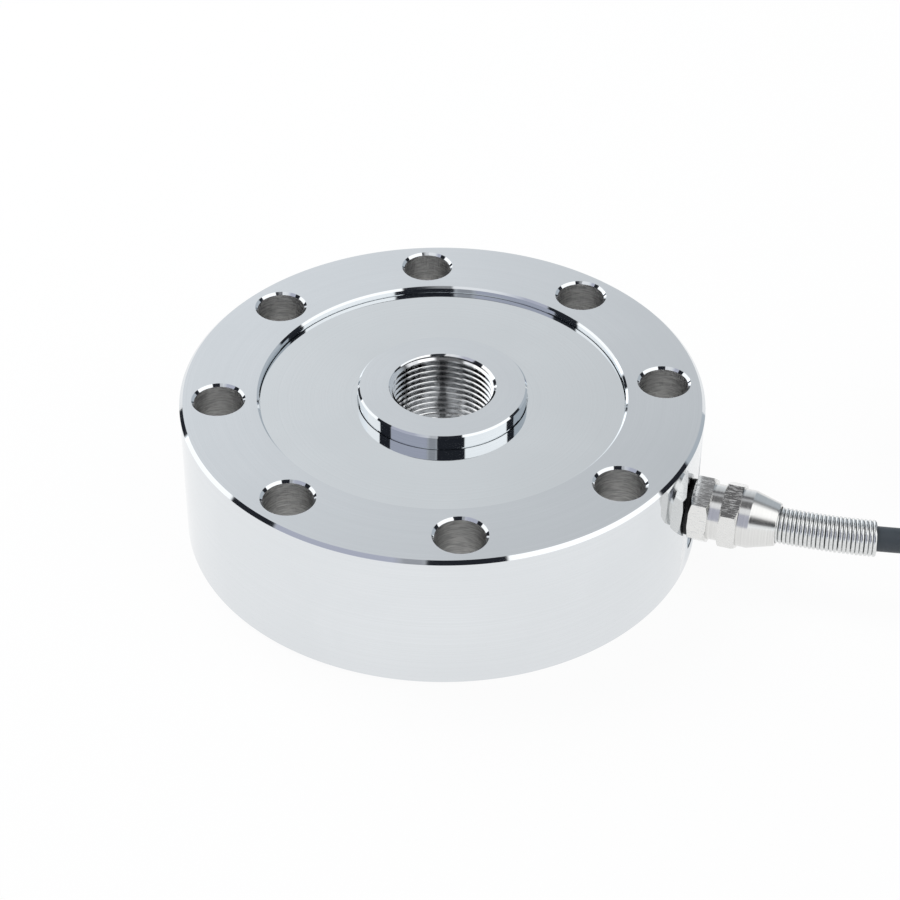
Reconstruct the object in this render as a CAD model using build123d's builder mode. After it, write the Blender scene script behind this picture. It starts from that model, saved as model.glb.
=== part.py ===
from build123d import *
import os
from math import atan2, cos, degrees, pi, radians, sin, sqrt, tan

# Flange load cell of the spoke type, with its cable gland, strain relief spring and cable.
# Millimetres. The origin is the centre of the rim's base, +Z is the loading axis and the
# cable leaves along +X.

# Rim and hub, turned and milled from one piece
rim_diameter = 118.0
rim_height = 34.5
rim_edge_chamfer = 0.75
hub_diameter = 38.0
hub_rise = 1.5  # hub face above the rim's face
hub_base = 1.0  # underside of the hub above the base
hub_edge_chamfer = 0.4

# Annular recesses that take the two covers
recess_diameter = 82.5
recess_edge_chamfer = 0.45
top_recess_depth = 2.0  # rim face down to the face of the top cover
base_recess_depth = 3.0  # base up to the face of the bottom cover
cover_thickness = 1.0
cover_clearance = 0.12  # round the cover, on the radius
rim_seat_width = 3.0
hub_seat_width = 2.0

# Spokes between hub and rim, each thinned to a web by a round gauge pocket on both sides
spoke_count = 4
spoke_width = 13.0
spoke_height = 19.0
spoke_root_radius = 3.0
wiring_channel_depth = 4.5  # underside of the top cover down to the spokes
web_thickness = 6.0
gauge_pocket_diameter = 12.0

# Centre thread, M24 x 1.5, straight through the hub
thread_size = 24.0
thread_pitch = 1.5
thread_mouth_clearance = 0.1  # how far the lead-in opens past the thread's size, on the radius

# Flange bolts
bolt_edge_distance = 8.75  # from the bolt circle out to the rim's edge
bolt_count = 8
bolt_hole_diameter = 11.0
bolt_hole_chamfer = 0.55  # at the rim's face; the base stays sharp

# Strain gauges and their wiring
gauge_length = 7.4
gauge_width = 5.6
gauge_backing = 0.15
gauge_foil = 0.08
gauge_bar_length = 2.6
gauge_bar_width = 0.3
gauge_bar_pitch = 0.6
gauge_bars = 4
gauge_grid_offset = 1.8
gauge_tab_length = 1.2
gauge_tab_width = 0.9
gauge_tab_offset = 2.2
lead_wire_diameter = 0.5
lead_wire_standoff = 1.5  # from the spoke's side to the rising wire
lead_wire_bend = 1.0
solder_radius = 0.55
solder_height = 0.6

# Ring board in the wiring channel, lying on the spokes
board_thickness = 1.2
board_clearance = 0.6
chip_length = 3.2
chip_width = 1.6
chip_height = 0.6
chip_end_length = 0.5
chip_end_proud = 0.05
chip_angles = {"zero": 12.0, "span": 78.0, "temperature": 168.0, "linearity": 258.0}

# Cable gland, M10 x 1 into the rim
gland_height = 16.3
spot_face_diameter = 15.0
spot_face_depth = 0.9
gland_thread_size = 10.0
gland_thread_clearance = 0.1  # on the radius
gland_thread_length = 8.6  # in the rim, from the spot face
gland_tip_chamfer = 0.5
tapped_depth = 10.1
passage_diameter = 6.4
passage_overrun = 2.0  # past the cavity's wall
seal_diameter = 12.6
seal_thickness = 1.5
seal_edge_radius = 0.4
gland_flats = 14.0
hexagon_chamfer = 0.9  # on the radius, at the corners
hexagon_chamfer_angle = 30.0
body_hexagon_length = 3.9
body_hexagon_turn = 12.3  # a corner's angle past upright
neck_diameter = 12.6
neck_length = 2.6
nut_thread_diameter = 10.8
nut_thread_length = 5.4
nut_thread_clearance = 0.1
bush_chamber_diameter = 8.6
bush_chamber_depth = 5.6
bush_clearance = 0.1
bush_length = 6.0
bush_taper = 0.8
washer_thickness = 0.8
washer_clearance = 0.2
nut_hexagon_length = 4.0
nut_hexagon_turn = 4.0
nut_collar_diameter = 13.0
nut_collar_length = 2.7
nut_cone_length = 5.8
nut_mouth_diameter = 9.8
nut_lip_radius = 0.4
nut_passage_clearance = 0.4

# Strain relief spring, close wound
spring_diameter = 8.2
spring_wire = 0.9
spring_pitch = 0.92
spring_coils = 26
spring_seat_depth = 2.4  # how far the spring sits inside the nut's mouth
spring_groove_depth = 0.32  # between the coils, as the outline shows it
spring_clearance = 0.1

# Cable and its cores
cable_diameter = 5.6
cable_length = 3000.0
cable_clearance = 0.15  # in the gland's bore, on the radius
cable_tail_in_rim = 0.5  # jacket past the end of the gland's thread
core_diameter = 1.3
core_spacing = 1.5
core_turn_radius = 3.0
core_rise_inset = 5.0  # from the cavity's wall to the first rising core
core_colours = ["red", "black", "green", "white"]

# Route of the free cable after the gland, chosen to follow the photograph: it bends away
# sideways inside the spring and comes down to the surface in front of the coil
cable_route = [(82.5, 0.0, 16.3), (96.4, 1.35, 16.3), (117.8, 6.7, 15.7)]
coil_entry = (161.0, 21.1, 4.1)
coil_entry_stub = 25.0
coil_entry_heading = 20.0  # degrees from +X, seen from above

# Coil that puts the spare length away: each layer is a flat spiral, in and out by turns
coil_turn_radius = 32.0  # at mid turn
coil_turns_per_layer = 3.5
coil_layers = 4
coil_pitch = 5.75
coil_slack = 0.3
coil_corner_radius = 2.5
tail_radii = [41.5, 40.8, 39.0, 36.5, 34.5]
tail_angles = [290.0, 312.0, 334.0, 356.0, 378.0]
tail_heights = [-3.1, 0.8, 2.9, 3.5, 3.5]  # of the centreline above the coil's top

# Ties and the free end
tie_width = 4.0
tie_thickness = 0.8
tie_clearance = 0.2
tie_angles = [150.0, 215.0]
tie_head_depth = 4.6  # towards the coil's axis
tie_head_width = 5.4
tie_head_height = 5.0
sleeve_wall = 0.6
sleeve_clearance = 0.1
sleeve_length = 14.0
sleeve_overlap = 6.0
lead_names = ["red", "black", "green", "white", "shield"]
lead_exit_angles = [165.0, 235.0, 90.0, -55.0, 15.0]  # round the sleeve's mouth
lead_exit_radius = 1.6
lead_straight_exit = 7.0
lead_spacing = 2.3
lead_fan_angles = [21.0, 36.0, 51.0, 66.0]  # from the sleeve's mouth, round the coil
lead_fan_radii = [38.5, 36.5, 34.5, 33.0]  # of the middle lead
lead_fan_shares = [0.8, 0.95, 1.0, 1.0]  # of the spacing
lead_fan_heights = [2.3, 0.8, 0.1, 0.0]  # above the coil's top
lead_rest_clearance = 0.05
tip_diameter = 0.7
tip_length = 5.0

# Worked out from the sizes above
rim_radius = rim_diameter / 2
hub_radius = hub_diameter / 2
hub_top = rim_height + hub_rise
recess_radius = recess_diameter / 2
cavity_radius = recess_radius - rim_seat_width
shoulder_radius = hub_radius + hub_seat_width
top_seat = rim_height - top_recess_depth - cover_thickness
bottom_seat = base_recess_depth + cover_thickness
spoke_top = top_seat - wiring_channel_depth
spoke_base = spoke_top - spoke_height
spoke_middle = (spoke_top + spoke_base) / 2
spoke_angles = [180 / spoke_count + 360 / spoke_count * k for k in range(spoke_count)]
gauge_radius = (shoulder_radius + cavity_radius) / 2
gauge_pocket_depth = (spoke_width - web_thickness) / 2
thread_minor_radius = (thread_size - 1.0825 * thread_pitch) / 2
thread_mouth_chamfer = thread_size / 2 + thread_mouth_clearance - thread_minor_radius
bolt_circle_radius = rim_radius - bolt_edge_distance
bolt_radius = bolt_hole_diameter / 2

# Gland stations along +X, from the flat it seats on out to the nut's mouth
spot_face = rim_radius - spot_face_depth
shank_start = spot_face - gland_thread_length
shank_radius = gland_thread_size / 2 - gland_thread_clearance
body_hexagon_start = spot_face + seal_thickness
neck_start = body_hexagon_start + body_hexagon_length
nut_start = neck_start + neck_length
thread_end = nut_start + nut_thread_length
bush_chamber_start = thread_end - bush_chamber_depth
bush_radius = bush_chamber_diameter / 2 - bush_clearance
bush_end = bush_chamber_start + bush_length
nut_shoulder = bush_end + washer_thickness
nut_collar_start = nut_start + nut_hexagon_length
nut_cone_start = nut_collar_start + nut_collar_length
nut_end = nut_cone_start + nut_cone_length
nut_chamber_radius = nut_thread_diameter / 2 + nut_thread_clearance
hexagon_corner_radius = gland_flats / sqrt(3)
cable_radius = cable_diameter / 2
cable_bore_radius = cable_radius + cable_clearance
spring_start = nut_end - spring_seat_depth
spring_radius = spring_diameter / 2
spring_inner_radius = spring_radius - spring_wire
jacket_start = shank_start - cable_tail_in_rim
gland_axis = Axis((0, 0, gland_height), (1, 0, 0))
match_tolerance = 0.001  # when an edge is found by its size

# Coil's section and place
coil_base = tie_thickness + tie_clearance
bundle_width = coil_turns_per_layer * coil_pitch + cable_diameter + 2 * coil_slack
bundle_height = (coil_layers - 1) * coil_pitch + cable_diameter + 2 * coil_slack
coil_top = coil_base + bundle_height
coil_outer_radius = coil_turn_radius + bundle_width / 2
entry_radius = coil_outer_radius - coil_slack - cable_radius
coil_centre = (
    coil_entry[0] - entry_radius * sin(radians(coil_entry_heading)),
    coil_entry[1] + entry_radius * cos(radians(coil_entry_heading)),
)
coil_axis = Axis((*coil_centre, 0), (0, 0, 1))

os.makedirs("parts", exist_ok=True)


def save(builder, name):
    """Label a finished sub-part and write it to its own file."""
    builder.part.label = name
    export_step(builder.part, f"parts/{name}.step")


def polar(radius, angle, height=0.0):
    """A point round the loading axis."""
    return Vector(radius * cos(radians(angle)), radius * sin(radians(angle)), height)


def coil_point(radius, angle, height):
    """A point round the coil's axis."""
    return polar(radius, angle, height) + Vector(*coil_centre, 0)


def across_gland(x):
    """The plane across the gland's axis at x, with its own x along +Y and its own y up."""
    return Plane(origin=(x, 0, gland_height), x_dir=(0, 1, 0), z_dir=(1, 0, 0))


def turn_on_gland(profile, mode=Mode.ADD):
    """Revolve a profile of (x, radius) points round the gland's axis."""
    with BuildSketch(Plane.XZ) as section:
        with BuildLine():
            Polyline(*[(x, gland_height + radius) for x, radius in profile], close=True)
        make_face()
    revolve(section.sketch, axis=gland_axis, mode=mode)


def gland_hexagon(start, length, corner_angle):
    """A hexagon on the gland's axis, its corners turned off at both ends."""
    end = start + length
    face_radius = hexagon_corner_radius - hexagon_chamfer
    slope = hexagon_chamfer * tan(radians(hexagon_chamfer_angle))
    with BuildSketch(across_gland(start)) as hexagon:
        RegularPolygon(hexagon_corner_radius, side_count=6, rotation=90 - corner_angle)
    extrude(hexagon.sketch, amount=length)
    corners = [
        (start, 0),
        (start, face_radius),
        (start + slope, hexagon_corner_radius),
        (end - slope, hexagon_corner_radius),
        (end, face_radius),
        (end, 0),
    ]
    turn_on_gland(corners, mode=Mode.INTERSECT)


def round_edges(builder, radius, height):
    """The circular edges of one radius at one height, about the loading axis or a hole's."""
    edges = builder.edges().filter_by(GeomType.CIRCLE)
    edges = edges.filter_by(lambda edge: abs(edge.radius - radius) < match_tolerance)
    return edges.filter_by(lambda edge: abs(edge.arc_center.Z - height) < match_tolerance)


def sweep_round(points, radii, radius):
    """A round bar along straight runs joined by tangent arcs; gives back its centreline."""
    with BuildLine() as route:
        FilletPolyline(*points, radius=radii)
    line = route.wires()[0]
    with BuildSketch(Plane(origin=line @ 0, z_dir=line % 0)) as section:
        Circle(radius)
    sweep(section.sketch, path=line)
    return line


def bend_radii(points):
    """The largest arc at each corner of a route, as its two runs allow."""
    runs = [Vector(*b) - Vector(*a) for a, b in zip(points, points[1:])]
    radii = []
    for before, after in zip(runs, runs[1:]):
        half_turn = radians(before.get_angle(after)) / 2
        radii.append(0.45 * min(before.length, after.length) / tan(half_turn))
    return radii


# Body: the turned blank, then the pockets between the spokes and the holes
with BuildPart() as sensor_body:
    with BuildSketch(Plane.XZ):
        with BuildLine():
            Polyline(
                (rim_radius, 0),
                (rim_radius, rim_height),
                (recess_radius, rim_height),
                (recess_radius, top_seat),
                (cavity_radius, top_seat),
                (cavity_radius, spoke_top),
                (shoulder_radius, spoke_top),
                (shoulder_radius, top_seat),
                (hub_radius, top_seat),
                (hub_radius, hub_top),
                (0, hub_top),
                (0, hub_base),
                (hub_radius, hub_base),
                (hub_radius, bottom_seat),
                (shoulder_radius, bottom_seat),
                (shoulder_radius, spoke_base),
                (cavity_radius, spoke_base),
                (cavity_radius, bottom_seat),
                (recess_radius, bottom_seat),
                (recess_radius, 0),
                close=True,
            )
        make_face()
    revolve(axis=Axis.Z)
    chamfer(
        round_edges(sensor_body, rim_radius, rim_height) + round_edges(sensor_body, rim_radius, 0),
        length=rim_edge_chamfer,
    )
    chamfer(
        round_edges(sensor_body, recess_radius, rim_height)
        + round_edges(sensor_body, recess_radius, 0),
        length=recess_edge_chamfer,
    )
    chamfer(
        round_edges(sensor_body, hub_radius, hub_top)
        + round_edges(sensor_body, hub_radius, hub_base),
        length=hub_edge_chamfer,
    )

    with BuildSketch(Plane.XY.offset(spoke_base)) as between_spokes:
        Circle(cavity_radius)
        Circle(shoulder_radius, mode=Mode.SUBTRACT)
        for angle in spoke_angles[: spoke_count // 2]:
            Rectangle(2 * recess_radius, spoke_width, rotation=angle, mode=Mode.SUBTRACT)
        fillet(between_spokes.vertices(), radius=spoke_root_radius)
    extrude(amount=spoke_height, mode=Mode.SUBTRACT)

    for angle in spoke_angles:
        for side in (-1, 1):
            spoke_side = polar(spoke_width / 2, angle + 90 * side)
            pocket_plane = Plane(
                origin=polar(gauge_radius, angle, spoke_middle) + spoke_side,
                z_dir=spoke_side.normalized(),
            )
            with BuildSketch(pocket_plane):
                Circle(gauge_pocket_diameter / 2)
            extrude(amount=-gauge_pocket_depth, mode=Mode.SUBTRACT)

    with BuildSketch(Plane.XY.offset(hub_base)):
        Circle(thread_minor_radius)
    extrude(amount=hub_top - hub_base, mode=Mode.SUBTRACT)
    chamfer(
        round_edges(sensor_body, thread_minor_radius, hub_top)
        + round_edges(sensor_body, thread_minor_radius, hub_base),
        length=thread_mouth_chamfer,
    )

    with BuildSketch(Plane.XY):
        with PolarLocations(bolt_circle_radius, bolt_count, start_angle=180 / bolt_count):
            Circle(bolt_radius)
    extrude(amount=rim_height, mode=Mode.SUBTRACT)
    chamfer(round_edges(sensor_body, bolt_radius, rim_height), length=bolt_hole_chamfer)

    gland_hole = [
        (cavity_radius - passage_overrun, 0),
        (cavity_radius - passage_overrun, passage_diameter / 2),
        (spot_face - tapped_depth, passage_diameter / 2),
        (spot_face - tapped_depth, gland_thread_size / 2),
        (spot_face, gland_thread_size / 2),
        (spot_face, spot_face_diameter / 2),
        (rim_radius, spot_face_diameter / 2),
        (rim_radius, 0),
    ]
    turn_on_gland(gland_hole, mode=Mode.SUBTRACT)
save(sensor_body, "sensor_body")


# Annular covers lying on the seats of rim and hub
for name, seat in (("top_cover", top_seat), ("bottom_cover", base_recess_depth)):
    with BuildPart() as cover:
        with BuildSketch(Plane.XY.offset(seat)):
            Circle(recess_radius - cover_clearance)
            Circle(hub_radius + cover_clearance, mode=Mode.SUBTRACT)
        extrude(amount=cover_thickness)
    save(cover, name)

# Shear gauges on the webs, each with two foil grids at 45 degrees, and their lead wires
gauge_number = 0
for angle in spoke_angles:
    for side in (-1, 1):
        gauge_number += 1
        outwards = polar(1, angle + 90 * side)
        web_plane = Plane(
            origin=polar(gauge_radius, angle, spoke_middle) + outwards * (web_thickness / 2),
            x_dir=polar(-side, angle),
            z_dir=outwards,
        )
        with BuildPart() as shear_gauge:
            with BuildSketch(web_plane):
                Rectangle(gauge_length, gauge_width)
            extrude(amount=gauge_backing)
            with BuildSketch(web_plane.offset(gauge_backing)):
                for slant in (-1, 1):
                    with Locations(Location((slant * gauge_grid_offset, 0, 0), (0, 0, 45 * slant))):
                        with GridLocations(0, gauge_bar_pitch, 1, gauge_bars):
                            Rectangle(gauge_bar_length, gauge_bar_width)
                with Locations((0, gauge_width / 2 - gauge_tab_width)):
                    with GridLocations(gauge_tab_offset, 0, 3, 1):
                        Rectangle(gauge_tab_length, gauge_tab_width)
            extrude(amount=gauge_foil)
        save(shear_gauge, f"shear_gauge_{gauge_number}")

        foil_face = gauge_backing + gauge_foil
        rise_plane = spoke_width / 2 - web_thickness / 2 + lead_wire_standoff
        tab_height = gauge_width / 2 - gauge_tab_width
        with BuildPart() as gauge_leads:
            for offset in (-gauge_tab_offset, gauge_tab_offset):
                tab = web_plane.from_local_coords((offset, tab_height, foil_face))
                corner = web_plane.from_local_coords((offset, tab_height, rise_plane))
                top = Vector(corner.X, corner.Y, spoke_top)
                sweep_round([tab, corner, top], lead_wire_bend, lead_wire_diameter / 2)
                for end, away in ((tab, outwards), (top, Vector(0, 0, -1))):
                    with Locations(Plane(origin=end, z_dir=away)):
                        Cone(
                            solder_radius,
                            lead_wire_diameter / 2,
                            solder_height,
                            align=(Align.CENTER, Align.CENTER, Align.MIN),
                        )
        save(gauge_leads, f"gauge_leads_{gauge_number}")

# Bridge board and the trimming resistors on it
with BuildPart() as bridge_board:
    with BuildSketch(Plane.XY.offset(spoke_top)):
        Circle(cavity_radius - board_clearance)
        Circle(shoulder_radius + board_clearance, mode=Mode.SUBTRACT)
    extrude(amount=board_thickness)
save(bridge_board, "bridge_board")

board_middle = (shoulder_radius + cavity_radius) / 2
for purpose, angle in chip_angles.items():
    chip_plane = Plane(
        origin=polar(board_middle, angle, spoke_top + board_thickness),
        x_dir=polar(1, angle + 90),
        z_dir=(0, 0, 1),
    )
    with BuildPart() as trim_resistor:
        with BuildSketch(chip_plane):
            Rectangle(chip_length, chip_width)
        extrude(amount=chip_height)
        with BuildSketch(chip_plane):
            with GridLocations(chip_length - chip_end_length, 0, 2, 1):
                Rectangle(chip_end_length, chip_width + 2 * chip_end_proud)
        extrude(amount=chip_height + chip_end_proud)
    save(trim_resistor, f"{purpose}_resistor")

# Cores inside the rim, from the end of the jacket to the underside of the board
for number, colour in enumerate(core_colours):
    across = core_spacing / 2 * (1 if number % 2 else -1)
    above = core_spacing / 2 * (1 if number < 2 else -1)
    rise = cavity_radius - core_rise_inset - (0 if number < 2 else core_spacing)
    start = Vector(jacket_start, across, gland_height + above)
    corner = Vector(rise, across, gland_height + above)
    top = Vector(rise, across, spoke_top)
    with BuildPart() as inner_core:
        sweep_round([start, corner, top], core_turn_radius, core_diameter / 2)
    save(inner_core, f"inner_core_{colour}")

# Gland: seal ring, body, bush, washer and nut
with BuildPart() as gland_seal_ring:
    with BuildSketch(across_gland(spot_face)):
        Circle(seal_diameter / 2)
        Circle(gland_thread_size / 2, mode=Mode.SUBTRACT)
    extrude(amount=seal_thickness)
    round_ones = gland_seal_ring.edges().filter_by(GeomType.CIRCLE)
    outer_edges = round_ones.filter_by(
        lambda edge: abs(edge.radius - seal_diameter / 2) < match_tolerance
    )
    fillet(outer_edges, radius=seal_edge_radius)
save(gland_seal_ring, "gland_seal_ring")

with BuildPart() as gland_body:
    gland_hexagon(body_hexagon_start, body_hexagon_length, body_hexagon_turn)
    outside = [
        (shank_start, 0),
        (shank_start, shank_radius - gland_tip_chamfer),
        (shank_start + gland_tip_chamfer, shank_radius),
        (body_hexagon_start, shank_radius),
        (neck_start, shank_radius),
        (neck_start, neck_diameter / 2),
        (nut_start, neck_diameter / 2),
        (nut_start, nut_thread_diameter / 2),
        (thread_end, nut_thread_diameter / 2),
        (thread_end, 0),
    ]
    turn_on_gland(outside)
    inside = [
        (shank_start, 0),
        (shank_start, cable_bore_radius),
        (bush_chamber_start, cable_bore_radius),
        (bush_chamber_start, bush_chamber_diameter / 2),
        (thread_end, bush_chamber_diameter / 2),
        (thread_end, 0),
    ]
    turn_on_gland(inside, mode=Mode.SUBTRACT)
save(gland_body, "gland_body")

with BuildPart() as cable_bush:
    bush = [
        (bush_chamber_start, cable_bore_radius),
        (bush_chamber_start, bush_radius - bush_taper),
        (bush_chamber_start + bush_taper, bush_radius),
        (bush_end - bush_taper, bush_radius),
        (bush_end, bush_radius - bush_taper),
        (bush_end, cable_bore_radius),
    ]
    turn_on_gland(bush)
save(cable_bush, "cable_bush")

with BuildPart() as thrust_washer:
    with BuildSketch(across_gland(bush_end)):
        Circle(nut_chamber_radius - washer_clearance)
        Circle(cable_bore_radius, mode=Mode.SUBTRACT)
    extrude(amount=washer_thickness)
save(thrust_washer, "thrust_washer")

with BuildPart() as gland_nut:
    gland_hexagon(nut_start, nut_hexagon_length, nut_hexagon_turn)
    outside = [
        (nut_collar_start, 0),
        (nut_collar_start, nut_collar_diameter / 2),
        (nut_cone_start, nut_collar_diameter / 2),
        (nut_end - nut_lip_radius, nut_mouth_diameter / 2),
        (nut_end, nut_mouth_diameter / 2 - nut_lip_radius),
        (nut_end, 0),
    ]
    turn_on_gland(outside)
    inside = [
        (nut_start, 0),
        (nut_start, nut_chamber_radius),
        (nut_shoulder, nut_chamber_radius),
        (nut_shoulder, cable_radius + nut_passage_clearance),
        (spring_start, cable_radius + nut_passage_clearance),
        (spring_start, spring_radius + spring_clearance),
        (nut_end, spring_radius + spring_clearance),
        (nut_end, 0),
    ]
    turn_on_gland(inside, mode=Mode.SUBTRACT)
save(gland_nut, "gland_nut")

# Cable, from the end of its jacket inside the rim to the face of the coil's entry
entry_point = Vector(*coil_entry)
last_corner = Vector(*cable_route[-1])
entry_direction = (entry_point - last_corner).normalized()
stub_start = entry_point - entry_direction * coil_entry_stub
cable_points = [(jacket_start, 0, gland_height), *cable_route, tuple(stub_start)]
cable_radii = bend_radii(cable_points)
print("cable bend radii", [round(radius, 1) for radius in cable_radii])

with BuildPart() as cable:
    cable_line = sweep_round(cable_points, cable_radii, cable_radius)
save(cable, "cable")
section = pi * cable_radius**2
print("cable volume over section times length", cable.part.volume / (section * cable_line.length))


def spring_plane(along):
    """The plane across the cable at a length along the spring."""
    distance = spring_start - jacket_start + along
    return Plane(
        origin=cable_line.position_at(distance, position_mode=PositionMode.LENGTH),
        z_dir=cable_line.tangent_at(distance, position_mode=PositionMode.LENGTH),
    )


# Spring: its coils lie across the cable and follow the cable's bend
with BuildPart() as strain_spring:
    for step in range(2 * spring_coils + 1):
        with BuildSketch(spring_plane(step * spring_pitch / 2)):
            Circle(spring_radius - (0 if step % 2 else spring_groove_depth))
    loft(ruled=True)
    with BuildSketch(Plane(origin=cable_line @ 0, z_dir=cable_line % 0)):
        Circle(spring_inner_radius)
    sweep(path=cable_line, mode=Mode.SUBTRACT)
save(strain_spring, "strain_spring")

# Coil, with the stub that the cable comes in by and the tail that lies on top
with BuildPart() as cable_coil:
    with BuildSketch(Plane(origin=(*coil_centre, 0), x_dir=(1, 0, 0), z_dir=(0, -1, 0))):
        with Locations((coil_turn_radius, coil_base + bundle_height / 2)):
            RectangleRounded(bundle_width, bundle_height, coil_corner_radius)
    revolve(axis=coil_axis)
    with BuildSketch(Plane(origin=stub_start, z_dir=entry_direction)):
        Circle(cable_radius)
    extrude(amount=coil_entry_stub)
    tail_points = [
        coil_point(radius, angle, coil_top + height)
        for radius, angle, height in zip(tail_radii, tail_angles, tail_heights)
    ]
    tail_bends = bend_radii(tail_points)
    print("tail bend radii", [round(radius, 1) for radius in tail_bends])
    tail_line = sweep_round(tail_points, tail_bends, cable_radius)
save(cable_coil, "cable_coil")

# Ties round the bundle
for number, angle in enumerate(tie_angles, start=1):
    tie_plane = Plane(
        origin=coil_point(coil_turn_radius, angle, coil_base + bundle_height / 2),
        x_dir=polar(1, angle),
        z_dir=polar(1, angle - 90),
    )
    with BuildPart() as coil_tie:
        inner = (bundle_width + 2 * tie_clearance, bundle_height + 2 * tie_clearance)
        with BuildSketch(tie_plane):
            RectangleRounded(
                inner[0] + 2 * tie_thickness,
                inner[1] + 2 * tie_thickness,
                coil_corner_radius + tie_clearance + tie_thickness,
            )
            RectangleRounded(*inner, coil_corner_radius + tie_clearance, mode=Mode.SUBTRACT)
        extrude(amount=tie_width / 2, both=True)
        with Locations(tie_plane):
            with Locations((-inner[0] / 2 - tie_head_depth / 2, 0, 0)):
                Box(tie_head_depth, tie_head_height, tie_head_width)
    save(coil_tie, f"coil_tie_{number}")

# Sleeve over the end of the jacket
tail_end = tail_line @ 1
tail_direction = tail_line % 1
sleeve_radius = cable_radius + sleeve_wall
sleeve_start = tail_end - tail_direction * sleeve_overlap
with BuildPart() as end_sleeve:
    with BuildSketch(Plane(origin=sleeve_start, z_dir=tail_direction)):
        Circle(sleeve_radius)
    extrude(amount=sleeve_length)
    sleeve_mouth = end_sleeve.faces().sort_by(Axis(sleeve_start, tail_direction))[-1]
    chamfer(sleeve_mouth.edges(), length=sleeve_wall)
    with BuildSketch(Plane(origin=sleeve_start, z_dir=tail_direction)):
        Circle(cable_radius + sleeve_clearance)
    extrude(amount=sleeve_overlap, mode=Mode.SUBTRACT)
save(end_sleeve, "end_sleeve")

# Stripped leads, fanned out over the top of the coil
sleeve_end = sleeve_start + tail_direction * sleeve_length
sideways = tail_direction.cross(Vector(0, 0, 1)).normalized()
upwards = sideways.cross(tail_direction)
mouth = sleeve_end - Vector(*coil_centre, 0)
mouth_angle = degrees(atan2(mouth.Y, mouth.X))
lie_height = coil_top + core_diameter / 2 + lead_rest_clearance
for number, name in enumerate(lead_names):
    place = number - (len(lead_names) - 1) / 2
    exit_angle = radians(lead_exit_angles[number])
    exit_offset = (sideways * cos(exit_angle) + upwards * sin(exit_angle)) * lead_exit_radius
    lead_start = sleeve_end + exit_offset
    lead_points = [lead_start, lead_start + tail_direction * lead_straight_exit]
    for angle, radius, share, height in zip(
        lead_fan_angles, lead_fan_radii, lead_fan_shares, lead_fan_heights
    ):
        beside = radius + place * share * lead_spacing
        lead_points.append(coil_point(beside, mouth_angle + angle, lie_height + height))
    with BuildPart() as lead:
        lead_radii = bend_radii(lead_points)
        lead_line = sweep_round(lead_points, lead_radii, core_diameter / 2)
        with BuildSketch(Plane(origin=lead_line @ 1, z_dir=lead_line % 1)):
            Circle(tip_diameter / 2)
        extrude(amount=tip_length)
    print(name, "lead bend radii", [round(radius, 1) for radius in lead_radii])
    save(lead, f"lead_{name}")

bundle_length = cable_length - cable_line.length - coil_entry_stub - tail_line.length
print("turns in the coil", round(bundle_length / (2 * pi * coil_turn_radius), 2))
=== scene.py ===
"""Looks of a spoke type flange load cell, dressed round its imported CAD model.

The frame's origin is the centre of the rim's base, +Z is the loading axis and the cable leaves
along +X. Every size is in metres. The body is turned, drilled and threaded here again with fine
facets, the gland, its seal and its spring get their machined shapes, and the cable is one smooth
line from the gland to its coil.
"""

import logging
from collections.abc import Callable, Iterator, Sequence
from contextlib import contextmanager
from dataclasses import dataclass
from enum import Enum
from math import atan2, cos, pi, radians, sin, sqrt, tan

import bpy
from mathutils import Matrix, Vector


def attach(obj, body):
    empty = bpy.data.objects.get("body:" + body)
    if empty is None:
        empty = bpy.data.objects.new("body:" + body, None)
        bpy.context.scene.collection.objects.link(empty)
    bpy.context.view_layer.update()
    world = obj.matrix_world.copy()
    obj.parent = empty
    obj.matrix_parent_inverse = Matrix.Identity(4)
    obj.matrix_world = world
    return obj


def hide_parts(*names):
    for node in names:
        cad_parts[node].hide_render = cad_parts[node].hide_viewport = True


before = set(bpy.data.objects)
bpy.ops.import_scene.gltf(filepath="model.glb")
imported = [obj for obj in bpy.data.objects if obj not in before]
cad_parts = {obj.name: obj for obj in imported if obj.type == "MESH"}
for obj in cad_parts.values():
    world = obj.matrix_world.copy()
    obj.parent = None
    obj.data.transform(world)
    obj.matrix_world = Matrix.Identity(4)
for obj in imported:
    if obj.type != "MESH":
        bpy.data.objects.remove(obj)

log = logging.getLogger("load_cell")

# Depth of an inner thread's flank for each unit of its pitch.
THREAD_DEPTH_PER_PITCH = 0.54125

# Sockets of a mix node that blends colours: its two colours and its result.
MIX_FIRST, MIX_SECOND, MIX_RESULT = 6, 7, 2

Pair = tuple[float, float]
Triple = tuple[float, float, float]
Colour = tuple[float, float, float]


class SpinAxis(Enum):
    """The two axes that turned pieces are spun about."""

    LOADING = "loading"
    GLAND = "gland"


class CutMode(Enum):
    """What a boolean cut does with its tool."""

    DIFFERENCE = "DIFFERENCE"
    UNION = "UNION"
    INTERSECT = "INTERSECT"


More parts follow.
